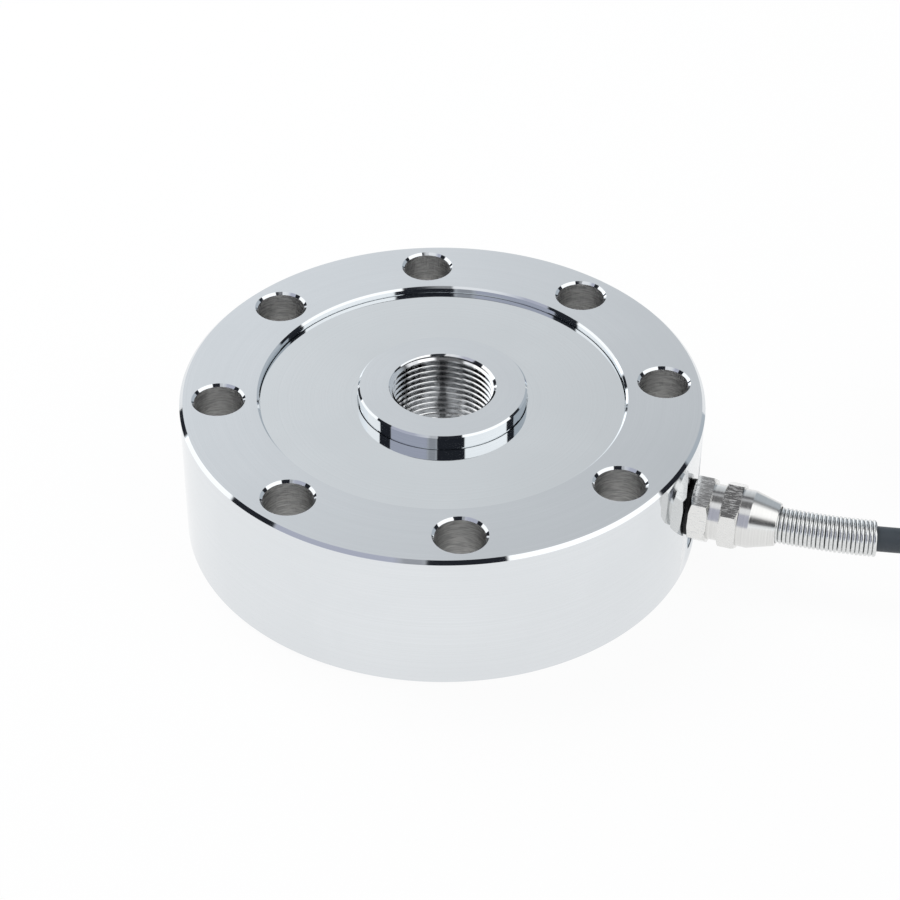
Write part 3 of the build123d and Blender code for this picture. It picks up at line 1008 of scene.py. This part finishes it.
    def thread_tool(self) -> bpy.types.Object:
        """A tap as long as the hub and longer: its body is the thread's open space."""
        pitch, major, minor = self.thread_pitch, self.thread_radius, self.minor_radius
        flank = (major - minor) * tan(radians(self.thread_half_angle))
        crest = (pitch - 2 * flank) / 3
        start = LAYOUT.hub_base - self.thread_spare_turns * pitch
        points = [
            Vector((minor, 0, start)),
            Vector((minor, 0, start + 2 * crest)),
            Vector((major, 0, start + 2 * crest + flank)),
            Vector((major, 0, start + 3 * crest + flank)),
            Vector((minor, 0, start + pitch)),
        ]
        tap = draw_line("thread_tool", points, closed=False)
        turns = round((LAYOUT.hub_top - LAYOUT.hub_base) / pitch) + 2 * self.thread_spare_turns
        apply_modifier(
            tap,
            "SCREW",
            axis="Z",
            angle=2 * pi,
            screw_offset=pitch,
            iterations=turns,
            steps=self.thread_steps,
            render_steps=self.thread_steps,
            use_merge_vertices=True,
        )
        with editing(tap):
            bpy.ops.mesh.select_all(action="SELECT")
            bpy.ops.mesh.remove_doubles(threshold=1e-7)
            for height, normal in (
                (LAYOUT.hub_base - pitch, (0, 0, -1)),
                (LAYOUT.hub_top + pitch, (0, 0, 1)),
            ):
                bpy.ops.mesh.select_all(action="SELECT")
                bpy.ops.mesh.bisect(
                    plane_co=(0, 0, height), plane_no=normal, use_fill=True, clear_outer=True
                )
        close_shell(tap)
        return tap

    def mouth_tools(self) -> bpy.types.Object:
        """The countersinks at both ends of the centre thread."""
        wide = self.thread_mouth_radius + self.overrun
        depth = self.thread_mouth_radius - self.minor_radius
        tools = []
        for name, face, inwards in (
            ("top_mouth_tool", LAYOUT.hub_top, -1),
            ("base_mouth_tool", LAYOUT.hub_base, 1),
        ):
            profile = [
                (face - inwards * self.overrun, 0),
                (face - inwards * self.overrun, wide),
                (face + inwards * depth, self.minor_radius),
                (face + inwards * (depth + self.overrun), 0),
            ]
            tools.append(Turned(name, profile, steps=self.thread_steps, closed=False).build())
        return join(tools)

    def build(self, finishes: Finishes) -> bpy.types.Object:
        """Turn, mill, drill and tap the body, and dress it.

        Args:
            finishes: The materials.

        Returns:
            The finished piece.
        """
        body = self.blank()
        for tool in (
            self.pocket_tool(),
            self.gauge_tools(),
            self.gland_tool(),
            self.bolt_tools(),
            self.thread_tool(),
            self.mouth_tools(),
        ):
            cut(body, tool)
        smooth(body, self.smooth_angle)
        dress(body, finishes.body, finishes.drilled, finishes.thread)
        for face in body.data.polygons:
            face.material_index = self.finish_of(face.center, face.normal)
        return seat(body, "body_steel", "sensor_body")

    def finish_of(self, centre: Vector, normal: Vector) -> int:
        """Which finish a face has: 0 turned, 1 drilled, 2 threaded.

        Args:
            centre: The face's centre.
            normal: The face's normal.

        Returns:
            The index of its material.
        """
        reach = sqrt(centre.x**2 + centre.y**2)
        if reach < self.thread_mouth_radius - self.beside_wall and abs(normal.z) < self.level:
            return 2
        if abs(normal.z) > self.sloping:
            return 0
        step = 2 * pi / self.bolt_count
        turn = (atan2(centre.y, centre.x) / step - 0.5) % 1.0
        aside = min(turn, 1 - turn) * step * self.bolt_circle_radius
        beside = abs(reach - self.bolt_circle_radius)
        near = beside < self.bolt_radius + self.beside_wall
        return 1 if near and aside < self.bolt_radius + self.round_hole else 0


@dataclass
class Covers:
    """The two annular plates that close the recesses."""

    clearance: float = 0.00012
    edge: float = 0.00012
    top_dish: Pair = (0.0001, 0.0004)
    steps: int = 512

    def plate(self, name: str, base: float, dish: Pair) -> bpy.types.Object:
        """One plate with its edges broken.

        Args:
            name: The piece's name.
            base: The height of its underside.
            dish: How far its inner and its outer edge stand up from flat.

        Returns:
            The plate.
        """
        inner = LAYOUT.hub_radius + self.clearance
        outer = LAYOUT.recess_radius - self.clearance
        top, edge = base + LAYOUT.cover_thickness, self.edge
        at_hub, at_rim = dish
        profile = [
            (base + at_hub, inner + edge),
            (base + at_rim, outer - edge),
            (base + at_rim + edge, outer),
            (top + at_rim - edge, outer),
            (top + at_rim, outer - edge),
            (top + at_hub, inner + edge),
            (top + at_hub - edge, inner),
            (base + at_hub + edge, inner),
        ]
        return Turned(name, profile, steps=self.steps).build()

    def build(self, finishes: Finishes) -> None:
        """Make and dress both plates.

        Args:
            finishes: The materials.
        """
        for node, base, dish in (
            ("top_cover", LAYOUT.top_seat, self.top_dish),
            ("bottom_cover", LAYOUT.base_recess_depth, (0.0, 0.0)),
        ):
            plate = self.plate(f"{node}_fine", base, dish)
            smooth(plate)
            dress(plate, finishes.cover)
            seat(plate, "cover_steel", node)


@dataclass
class Gland:
    """The cable gland screwed into the rim: seal ring, body and nut."""

    seal_radius: float = 0.0063
    seal_thickness: float = 0.0012
    seal_edge: float = 0.0004
    shank_radius: float = 0.0049
    shank_start: float = 0.0495
    flats: float = 0.014
    corner_chamfer: float = 0.0009
    chamfer_slope: float = 0.00052
    body_hexagon: Pair = (0.0593, 0.0635)
    body_hexagon_turn: float = 12.3
    neck_radius: float = 0.0063
    nut_start: float = 0.0661
    nut_thread_radius: float = 0.0054
    nut_thread_end: float = 0.0715
    bore_radius: float = 0.00295
    bush_chamber: Pair = (0.0659, 0.0043)
    nut_hexagon: Pair = (0.0661, 0.0701)
    nut_hexagon_turn: float = 4.0
    collar_radius: float = 0.0065
    collar_end: float = 0.0728
    collar_edge: float = 0.00018
    nut_end: float = 0.0786
    mouth_radius: float = 0.0049
    lip: float = 0.0004
    nut_chamber_radius: float = 0.0055
    nut_shoulder: float = 0.0727
    passage_radius: float = 0.0032
    spring_seat: float = 0.0762
    spring_bore_radius: float = 0.0042
    steps: int = 128
    bore_steps: int = 64
    # How far the corners' turning tool stands off the hexagon, so that no faces coincide.
    sliver: float = 1e-5
    flat_margin: float = 1e-4
    upright_normal: float = 0.1
    smooth_angle: float = 24.0
    seal_smooth_angle: float = 40.0

    def hexagon(self, name: str, ends: Pair, turn: float) -> bpy.types.Object:
        """A hexagon across the gland's axis with its corners turned off at both ends.

        Args:
            name: The piece's name.
            ends: Where it starts and ends along X.
            turn: The angle of one corner from upright towards +Y, in degrees.

        Returns:
            The hexagon.
        """
        corner = self.flats / sqrt(3)
        select_none()
        bpy.ops.mesh.primitive_cylinder_add(vertices=6, radius=corner, depth=ends[1] - ends[0])
        piece = name_piece(bpy.context.object, name)
        middle = Vector(((ends[0] + ends[1]) / 2, 0, LAYOUT.gland_height))
        # The cylinder's own Z goes along X, and its first corner, on Y, goes upright.
        lying = Matrix(((0, 0, 1, 0), (1, 0, 0, 0), (0, 1, 0, 0), (0, 0, 0, 1)))
        turned = Matrix.Rotation(radians(-turn), 4, "X") @ lying
        piece.matrix_world = Matrix.Translation(middle) @ turned
        apply_place(piece)
        face, slope, sliver = corner - self.corner_chamfer, self.chamfer_slope, self.sliver
        lens = [
            (ends[0] - sliver, 0),
            (ends[0] - sliver, face),
            (ends[0] + slope, corner + sliver),
            (ends[1] - slope, corner + sliver),
            (ends[1] + sliver, face),
            (ends[1] + sliver, 0),
        ]
        cut(piece, gland_core("lens_tool", lens, self.steps), CutMode.INTERSECT)
        return piece

    def body(self, finishes: Finishes) -> bpy.types.Object:
        """The gland's body, from its thread in the rim to the thread under the nut."""
        piece = self.hexagon("gland_body_fine", self.body_hexagon, self.body_hexagon_turn)
        inside = (self.body_hexagon[0] + self.body_hexagon[1]) / 2
        core = [
            (self.shank_start, 0),
            (self.shank_start, self.shank_radius - self.seal_edge),
            (self.shank_start + self.seal_edge, self.shank_radius),
            (inside, self.shank_radius),
            (inside, self.neck_radius),
            (self.nut_start, self.neck_radius),
            (self.nut_start, self.nut_thread_radius),
            (self.nut_thread_end, self.nut_thread_radius),
            (self.nut_thread_end, 0),
        ]
        cut(piece, gland_core("core_tool", core, self.steps), CutMode.UNION)
        chamber, wide = self.bush_chamber
        bore = [
            (self.shank_start - self.seal_thickness, 0),
            (self.shank_start - self.seal_thickness, self.bore_radius),
            (chamber, self.bore_radius),
            (chamber, wide),
            (self.nut_thread_end + self.seal_thickness, wide),
            (self.nut_thread_end + self.seal_thickness, 0),
        ]
        cut(piece, gland_core("bore_tool", bore, self.bore_steps))
        return self.finish(piece, finishes, self.body_hexagon, "gland_body")

    def nut(self, finishes: Finishes) -> bpy.types.Object:
        """The nut: hexagon, collar and cone, hollow for the bush and the spring."""
        piece = self.hexagon("gland_nut_fine", self.nut_hexagon, self.nut_hexagon_turn)
        inside = (self.nut_hexagon[0] + self.nut_hexagon[1]) / 2
        shell = [
            (inside, 0),
            (inside, self.collar_radius),
            (self.collar_end - self.collar_edge, self.collar_radius),
            (self.collar_end, self.collar_radius - self.collar_edge / 2),
            (self.nut_end - self.lip, self.mouth_radius),
            (self.nut_end - self.lip / 3, self.mouth_radius - self.lip / 3),
            (self.nut_end, self.mouth_radius - self.lip),
            (self.nut_end, 0),
        ]
        cut(piece, gland_core("shell_tool", shell, self.steps), CutMode.UNION)
        hollow = [
            (self.nut_start - self.seal_thickness, 0),
            (self.nut_start - self.seal_thickness, self.nut_chamber_radius),
            (self.nut_shoulder, self.nut_chamber_radius),
            (self.nut_shoulder, self.passage_radius),
            (self.spring_seat, self.passage_radius),
            (self.spring_seat, self.spring_bore_radius),
            (self.nut_end + self.seal_thickness, self.spring_bore_radius),
            (self.nut_end + self.seal_thickness, 0),
        ]
        cut(piece, gland_core("hollow_tool", hollow, self.bore_steps))
        return self.finish(piece, finishes, self.nut_hexagon, "gland_nut")

    def finish(
        self, piece: bpy.types.Object, finishes: Finishes, hexagon: Pair, node: str
    ) -> bpy.types.Object:
        """Smooth a gland piece and give its flats the milled finish.

        Args:
            piece: The object.
            finishes: The materials.
            hexagon: Where its hexagon starts and ends along X.
            node: The CAD node that it stands for.

        Returns:
            The finished piece.
        """
        smooth(piece, self.smooth_angle)
        dress(piece, finishes.nickel, finishes.milled)
        for face in piece.data.polygons:
            reach = Vector((face.center.y, face.center.z - LAYOUT.gland_height)).length
            on_hexagon = hexagon[0] < face.center.x < hexagon[1]
            flat = on_hexagon and reach > self.flats / 2 - self.flat_margin
            face.material_index = 1 if flat and abs(face.normal.x) < self.upright_normal else 0
        return seat(piece, "gland_nickel", node)

    def seal(self, finishes: Finishes) -> bpy.types.Object:
        """The rubber ring between the rim and the body's hexagon, with rounded edges."""
        start, edge = LAYOUT.spot_face, self.seal_edge
        end = start + self.seal_thickness
        inner, outer = LAYOUT.gland_thread_radius, self.seal_radius
        corners = [
            (start + edge - edge * cos(radians(turn)), outer - edge + edge * sin(radians(turn)))
            for turn in range(0, 91, 15)
        ]
        far = [(start + end - along, radius) for along, radius in reversed(corners)]
        profile = [(start, inner), *corners, *far, (end, inner)]
        ring = Turned("gland_seal_fine", profile, SpinAxis.GLAND, self.steps).build()
        smooth(ring, self.seal_smooth_angle)
        dress(ring, finishes.plain["seal_rubber"])
        return seat(ring, "seal_rubber", "gland_seal_ring")

    def build(self, finishes: Finishes) -> None:
        """Make the three pieces.

        Args:
            finishes: The materials.
        """
        self.seal(finishes)
        self.body(finishes)
        self.nut(finishes)


@dataclass
class Cable:
    """The cable: out of the gland, over to its coil, round it and on top to the stripped end."""

    route: Sequence[Triple] = (
        (0.049, 0.0, 0.0163),
        (0.0685, 0.0, 0.0163),
        (0.0825, 0.0, 0.0163),
        (0.0964, 0.00135, 0.0163),
        (0.1178, 0.0067, 0.0157),
        (0.138, 0.01345, 0.01026),
        (0.161, 0.0211, 0.0041),
    )
    heading: float = 20.0
    turns_per_layer: float = 3.5
    layers: int = 4
    pitch: float = 0.00575
    turn_radius: float = 0.032
    points_per_turn: int = 16
    points_per_climb: int = 3
    coil_top: float = 0.02445
    tail_radii: Sequence[float] = (0.0408, 0.0390, 0.0365, 0.0345)
    tail_angles: Sequence[float] = (312.0, 334.0, 356.0, 378.0)
    tail_heights: Sequence[float] = (0.0008, 0.0029, 0.0035, 0.0035)
    length: float = 3.0
    resolution: int = 6
    rounding: int = 5

    @property
    def outer_radius(self) -> float:
        """Radius of the coil's outermost turn."""
        return self.turn_radius + self.turns_per_layer * self.pitch / 2

    @property
    def centre(self) -> Vector:
        """The coil's centre on the surface."""
        turn, radius = radians(self.heading), self.outer_radius
        entry = Vector(self.route[-1])
        return Vector((entry.x - radius * sin(turn), entry.y + radius * cos(turn), 0))

    def coil_points(self) -> list[Vector]:
        """The coil's turns: flat spirals in and out, one on the other."""
        per_layer = round(self.turns_per_layer * self.points_per_turn)
        first = radians(self.heading - 90)
        # The smooth line stays inside its points, so they stand out by this much.
        stretch = cos(pi / self.points_per_turn)
        climb = self.points_per_climb
        points = []
        for number in range(1, self.layers * per_layer):
            layer, place = divmod(number, per_layer)
            share = place / per_layer
            inwards = share if layer % 2 == 0 else 1 - share
            radius = self.outer_radius - inwards * self.turns_per_layer * self.pitch
            to_next = max(0.0, (place - per_layer + climb - 1) / climb)
            since_last = max(0.0, (climb - 1 - place) / climb) if layer else 0.0
            climbed = layer + self.rise(to_next) - self.rise(since_last)
            height = self.route[-1][2] + self.pitch * climbed
            angle = first + 2 * pi * number / self.points_per_turn
            outwards = Vector((radius * cos(angle), radius * sin(angle), 0)) / stretch
            points.append(self.centre + outwards + Vector((0, 0, height)))
        return points

    @staticmethod
    def rise(share: float) -> float:
        """Half of a smooth step up to the next layer."""
        return 0.5 * share * share * (3 - 2 * share)

    def tail_points(self) -> list[Vector]:
        """The last stretch, which climbs on to the coil and lies on it."""
        points = []
        for radius, angle, height in zip(self.tail_radii, self.tail_angles, self.tail_heights):
            turn, level = radians(angle), self.coil_top + height
            points.append(self.centre + Vector((radius * cos(turn), radius * sin(turn), level)))
        return points

    def line(self, name: str, bevel: float) -> bpy.types.Object:
        """The cable's smooth line.

        Args:
            name: The curve's name.
            bevel: Its radius, or 0 for the bare line.

        Returns:
            The curve object.
        """
        points = [Vector(point) for point in self.route] + self.coil_points() + self.tail_points()
        piece = new_curve(name, "NURBS", points, bevel, self.rounding)
        piece.data.resolution_u = self.resolution
        spline = piece.data.splines[0]
        spline.order_u = 3
        spline.use_endpoint_u = True
        return piece

    def centreline(self) -> list[Vector]:
        """Points along the bare line, in order from the gland."""
        bare = self.line("cable_line", 0.0)
        bpy.context.view_layer.update()
        mesh = bpy.data.meshes.new_from_object(bare)
        points = [vertex.co.copy() for vertex in mesh.vertices]
        bpy.data.meshes.remove(mesh)
        bpy.data.objects.remove(bare, do_unlink=True)
        return points

    def build(self, finishes: Finishes) -> bpy.types.Object:
        """Args:
            finishes: The materials.

        Returns:
            The cable's curve.
        """
        cable = self.line("cable_jacket_line", LAYOUT.cable_radius)
        cable.data.materials.append(finishes.jacket)
        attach(cable, "root")
        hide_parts("cable", "cable_coil")
        on_it = ["coil_tie_1", "coil_tie_2", "end_sleeve"]
        on_it += [f"lead_{name}" for name in ("red", "black", "green", "white", "shield")]
        log.info("cable: %d control points", len(cable.data.splines[0].points))
        return cable


@dataclass
class StrainSpring:
    """The close wound spring that keeps the cable from kinking at the nut."""

    start: float = 0.0272
    coils: int = 26
    pitch: float = 0.00092
    wire_radius: float = 0.00045
    outer_radius: float = 0.0041
    points_per_coil: int = 28
    rounding: int = 3
    smooth_angle: float = 60.0

    def build(self, finishes: Finishes, line: Sequence[Vector]) -> bpy.types.Object:
        """Wind the wire round the cable's line.

        Args:
            finishes: The materials.
            line: Points along the cable's line.

        Returns:
            The spring's mesh.
        """
        middle = self.outer_radius - self.wire_radius
        route = []
        for number in range(self.coils * self.points_per_coil + 1):
            turn = 2 * pi * number / self.points_per_coil
            along = self.start + self.pitch * number / self.points_per_coil
            centre, ahead = point_along(line, along)
            aside = Vector((0, 0, 1)).cross(ahead).normalized()
            up = ahead.cross(aside)
            route.append(centre + middle * (aside * cos(turn) + up * sin(turn)))
        pick(new_curve("strain_spring_wire", "POLY", route, self.wire_radius, self.rounding))
        bpy.ops.object.convert(target="MESH")
        spring = bpy.context.object
        close_shell(spring)
        smooth(spring, self.smooth_angle)
        dress(spring, finishes.spring)
        return seat(spring, "spring_steel", "strain_spring")


def point_along(line: Sequence[Vector], distance: float) -> tuple[Vector, Vector]:
    """A point at a distance along a line, and the direction there.

    Args:
        line: The line's points in order.
        distance: The distance from its first point.

    Returns:
        The point and the unit direction.
    """
    left = distance
    for here, there in zip(line, line[1:]):
        span = there - here
        if left <= span.length:
            return here + span * (left / span.length), span.normalized()
        left -= span.length
    return line[-1].copy(), (line[-1] - line[-2]).normalized()


class FrameNodes:
    """The CAD nodes that keep their own shape and get their finish here."""

    def __init__(self, finishes: Finishes) -> None:
        """Pair each node's name, or its start, with a finish.

        Args:
            finishes: The materials.
        """
        plain_of = {
            "shear_gauge_": "gauge_film",
            "gauge_leads_": "lead_wire",
            "bridge_board": "board_laminate",
            "zero_resistor": "resistor_ceramic",
            "span_resistor": "resistor_ceramic",
            "temperature_resistor": "resistor_ceramic",
            "linearity_resistor": "resistor_ceramic",
            "cable_bush": "seal_rubber",
            "coil_tie_": "tie_nylon",
            "end_sleeve": "sleeve_shrink",
        }
        for colour in ("red", "black", "green", "white"):
            plain_of[f"inner_core_{colour}"] = plain_of[f"lead_{colour}"] = f"core_{colour}"
        self.finish_of = {start: finishes.plain[name] for start, name in plain_of.items()}
        self.finish_of["thrust_washer"] = finishes.nickel
        self.finish_of["lead_shield"] = finishes.braid

    def dress(self) -> None:
        """Give every listed node its finish."""
        for name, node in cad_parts.items():
            for start, material in self.finish_of.items():
                if name.startswith(start):
                    dress(node, material)
                    log.info("%s: %s", name, material.name)


@dataclass
class Camera:
    """The photograph's camera, placed from the fit to the rim, the holes and the thread."""

    distance: float = 0.5577
    azimuth: float = -72.0
    elevation: float = 39.65
    roll: float = -0.453
    focal_pixels: float = 2384.8
    frame_pixels: float = 900.0
    origin_offset: Pair = (-8.36, 58.9)
    sensor_width: float = 36.0
    clip: Pair = (0.01, 20.0)

    def build(self) -> bpy.types.Object:
        """Make the camera and make it the scene's."""
        turn, lift = radians(self.azimuth), radians(self.elevation)
        back = Vector((cos(turn) * cos(lift), sin(turn) * cos(lift), sin(lift)))
        right = Vector((-sin(turn), cos(turn), 0))
        up = back.cross(right)
        level = Matrix((right, up, back))
        aside, below = self.origin_offset
        towards = Vector((aside / self.focal_pixels, -below / self.focal_pixels, -1)).normalized()
        tip = Vector((0, 0, -1)).rotation_difference(towards).to_matrix()
        roll = Matrix.Rotation(radians(self.roll), 3, "Z")
        turned = (tip @ roll @ level).transposed()
        data = bpy.data.cameras.new("photo_camera")
        data.sensor_width = self.sensor_width
        data.sensor_fit = "HORIZONTAL"
        data.lens = self.focal_pixels * self.sensor_width / self.frame_pixels
        data.clip_start, data.clip_end = self.clip
        camera = bpy.data.objects.new("photo_camera", data)
        camera.matrix_world = Matrix.Translation(back * self.distance) @ turned.to_4x4()
        bpy.context.scene.collection.objects.link(camera)
        bpy.context.scene.camera = camera
        return camera


@dataclass(frozen=True)
class Card:
    """One flat area of the surround: a soft box, a flag or a wall.

    Angles are in degrees. Bearings run from the camera's side, positive towards the cable.
    """

    name: str
    bearing: Pair
    height: Pair
    colour: Colour
    soft: float = 2.0


@dataclass
class Studio:
    """A white floor and a surround of soft boxes, flags and walls that the metal mirrors."""

    floor_size: float = 6.0
    floor_drop: float = 0.0002
    floor_white: float = 0.86
    floor_roughness: float = 0.9
    floor_specular: float = 0.1
    floor_glow: float = 1.0
    glow_to_camera: float = 0.94
    glow_to_metal: float = 0.9
    bore_radius: float = 0.02
    bore_edge: float = 0.001
    painted_bore_glow: float = 0.75
    painted_dark_strip: Pair = (0.0028, 0.0045)
    key_place: Triple = (-0.5, 0.2, 0.9)
    key_size: float = 0.6
    key_power: float = 5.0
    front: float = -72.0
    wall: Colour = (0.70, 0.72, 0.74)
    wall_side: Triple = (-0.951, -0.309, 0.0)
    wall_side_slope: float = 1.1
    wall_rise_slope: float = -1.5
    wall_rise: float = 0.636
    wall_least: float = 0.2
    opening: Triple = (-0.0852, 0.0181, 0.9962)
    opening_radius: float = 15.4
    opening_soft: float = 2.0
    opening_colour: Colour = (0.15, 0.15, 0.155)
    cards: Sequence[Card] = (
        Card("ceiling", (-181, 181), (56, 95), (0.55, 0.56, 0.58), 5),
        Card("overhead_light", (-122, 125), (52, 95), (0.95, 0.96, 0.98), 4),
        Card("upper_back", (130, 231), (47, 60), (0.12, 0.12, 0.13), 4),
        Card("side_wall", (-76, -19), (-95, 50), (0.50, 0.515, 0.61), 4),
        Card("grey_strip", (-20, -7), (-95, 52), (0.38, 0.39, 0.42), 5),
        Card("camera_side", (-7, 31), (15, 56), (0.02, 0.022, 0.028), 1.5),
        Card("right_box", (31, 99.5), (-95, 78), (1.35, 1.35, 1.35), 1.5),
        Card("right_wall", (112, 168), (-95, 45), (0.50, 0.545, 0.59), 9),
        Card("right_flag", (99.5, 115), (-95, 45), (0.02, 0.022, 0.028), 1.5),
        Card("left_flag", (-95, -75), (-95, 50), (0.02, 0.022, 0.028), 1.5),
        Card("left_box", (-124, -95), (-95, 60), (1.3, 1.3, 1.3), 1.5),
        Card("low_flag", (-141, -125), (-95, 12), (0.02, 0.022, 0.028), 1.5),
    )

    def floor(self) -> None:
        """The floor, which keeps the object's shadow and shows white to camera and metal.

        Under the bore its glow for metal is a painted reflection: dimmer, with a dark strip through the
        middle.
        """
        select_none()
        bpy.ops.mesh.primitive_plane_add(size=self.floor_size, location=(0, 0, -self.floor_drop))
        floor = name_piece(bpy.context.object, "studio_floor")
        shading = Shading("studio_floor")
        shading.set(
            Base_Color=(self.floor_white,) * 3 + (1,),
            Roughness=self.floor_roughness,
            Specular_IOR_Level=self.floor_specular,
        )
        rays = shading.add("LightPath").outputs
        white = shading.add("Emission", {"Strength": self.floor_glow})
        place, edge = shading.vector(), self.bore_radius
        reach = shading.length(place)
        outside = shading.between(reach, edge, edge + self.bore_edge, 0, self.glow_to_metal)
        # Painted reflection: under the bore the floor glows for metal rays, dimmer than elsewhere, with
        # an unlit strip through its middle that the thread mirrors.
        aside = shading.math("ABSOLUTE", shading.dot(place, self.wall_side))
        painted_bore_reflection = shading.between(aside, *self.painted_dark_strip, 0, self.painted_bore_glow)
        lit = shading.math("MAXIMUM", outside, painted_bore_reflection)
        to_camera = shading.between(rays["Is Camera Ray"], 0, 1, 0, self.glow_to_camera)
        share = shading.math("MAXIMUM", to_camera, shading.math("MULTIPLY", rays["Is Glossy Ray"], lit))
        plain, lit_up = shading.shader.outputs[0], white.outputs[0]
        mix = shading.add("MixShader", {"Fac": share, 1: plain, 2: lit_up})
        shading.links.new(mix.outputs[0], shading.nodes["Material Output"].inputs["Surface"])
        floor.data.materials.append(shading.material)

    @staticmethod
    def within(
        sky: Wiring, value: bpy.types.NodeSocket, span: Pair, soft: float
    ) -> bpy.types.NodeSocket:
        """1 inside a span of degrees, 0 outside, with soft ends.

        Args:
            sky: The world's tree.
            value: The angle's socket.
            span: The span's two ends in degrees.
            soft: How many degrees each end fades over.

        Returns:
            The mask's socket.
        """
        middle, half = (span[0] + span[1]) / 2, (span[1] - span[0]) / 2
        off = sky.math("ABSOLUTE", sky.math("SUBTRACT", value, middle))
        ramp = sky.math("MULTIPLY_ADD", sky.math("SUBTRACT", half, off), 1 / soft, 0.5)
        return sky.math("MINIMUM", sky.math("MAXIMUM", ramp, 0.0), 1.0)

    @staticmethod
    def lay(
        sky: Wiring, name: str, mask: bpy.types.NodeSocket, under: bpy.types.NodeSocket, colour: Colour
    ) -> bpy.types.NodeSocket:
        """Lay a colour over the surround where a mask is 1.

        Args:
            sky: The world's tree.
            name: The new node's label.
            mask: The mask's socket.
            under: The colour socket of what lies under it.
            colour: The colour to lay.

        Returns:
            The colour socket of the two together.
        """
        feeds = {"Factor": mask, MIX_FIRST: under, MIX_SECOND: (*colour, 1)}
        return sky.add("Mix", feeds, data_type="RGBA", label=name).outputs[MIX_RESULT]

    def world(self) -> None:
        """White behind the object for the camera, and the cards for every other ray."""
        world = bpy.data.worlds.new("studio")
        bpy.context.scene.world = world
        world.use_nodes = True
        world.node_tree.nodes.clear()
        sky = Wiring(world.node_tree)
        ray = sky.add("TexCoord").outputs["Generated"]
        turn = {"Vector": ray, "Angle": radians(-self.front)}
        turned = sky.add("VectorRotate", turn, rotation_type="Z_AXIS").outputs[0]
        split = sky.add("SeparateXYZ", {0: turned}).outputs
        bearing = sky.math("DEGREES", sky.math("ARCTAN2", split["Y"], split["X"]))
        height = sky.math("DEGREES", sky.math("ARCSINE", split["Z"]))
        aside = sky.math("MULTIPLY_ADD", sky.dot(ray, self.wall_side), self.wall_side_slope, 1.0)
        above = sky.math("SUBTRACT", split["Z"], self.wall_rise)
        level = sky.math("MULTIPLY_ADD", above, self.wall_rise_slope, aside)
        level = sky.math("MAXIMUM", level, self.wall_least)
        colour = sky.add("VectorMath", {0: self.wall, "Scale": level}, operation="SCALE").outputs[0]
        for card in self.cards:
            low, high = card.bearing
            mask = self.within(sky, bearing, card.bearing, card.soft)
            if high > 180:
                round_again = self.within(sky, bearing, (low - 360, high - 360), card.soft)
                mask = sky.math("MAXIMUM", mask, round_again)
            mask = sky.math("MULTIPLY", mask, self.within(sky, height, card.height, card.soft))
            colour = self.lay(sky, card.name, mask, colour, card.colour)
        nearness = sky.math("MINIMUM", sky.dot(ray, self.opening), 1.0)
        away = sky.math("DEGREES", sky.math("ARCCOSINE", nearness))
        mask = self.within(sky, away, (-self.opening_radius, self.opening_radius), self.opening_soft)
        colour = self.lay(sky, "ceiling_opening", mask, colour, self.opening_colour)
        seen = sky.add("LightPath").outputs["Is Camera Ray"]
        soft = sky.add("Background", {"Color": colour}).outputs[0]
        white = sky.add("Background", {"Color": (1, 1, 1, 1)}).outputs[0]
        mix = sky.add("MixShader", {"Fac": seen, 1: soft, 2: white}).outputs[0]
        sky.add("OutputWorld", {"Surface": mix})

    def lamp(self, name: str, place: Triple, size: float, power: float) -> None:
        """A square soft lamp that points at the object and isn't mirrored in it.

        Args:
            name: The lamp's name.
            place: Where it stands.
            size: The length of its side.
            power: Its power in watts.
        """
        data = bpy.data.lights.new(name, "AREA")
        data.size = size
        data.energy = power
        lamp = bpy.data.objects.new(name, data)
        lamp.location = place
        lamp.rotation_euler = (-Vector(place)).to_track_quat("-Z", "Y").to_euler()
        lamp.visible_glossy = False
        bpy.context.scene.collection.objects.link(lamp)

    def build(self) -> None:
        """Set up the floor, the surround, the lamp and the view transform."""
        self.floor()
        self.world()
        self.lamp("key_lamp", self.key_place, self.key_size, self.key_power)
        bpy.context.scene.view_settings.view_transform = "Standard"


def main() -> None:
    """Build every sub-assembly, the camera and the studio."""
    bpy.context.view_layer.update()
    Camera().build()
    finishes = Finishes()
    cable = Cable()
    cable.build(finishes)
    StrainSpring().build(finishes, cable.centreline())
    SensorBody().build(finishes)
    Covers().build(finishes)
    Gland().build(finishes)
    FrameNodes(finishes).dress()
    Studio().build()


if __name__ == "__main__":
    logging.basicConfig(level=logging.INFO, format="%(name)s: %(message)s")
    main()
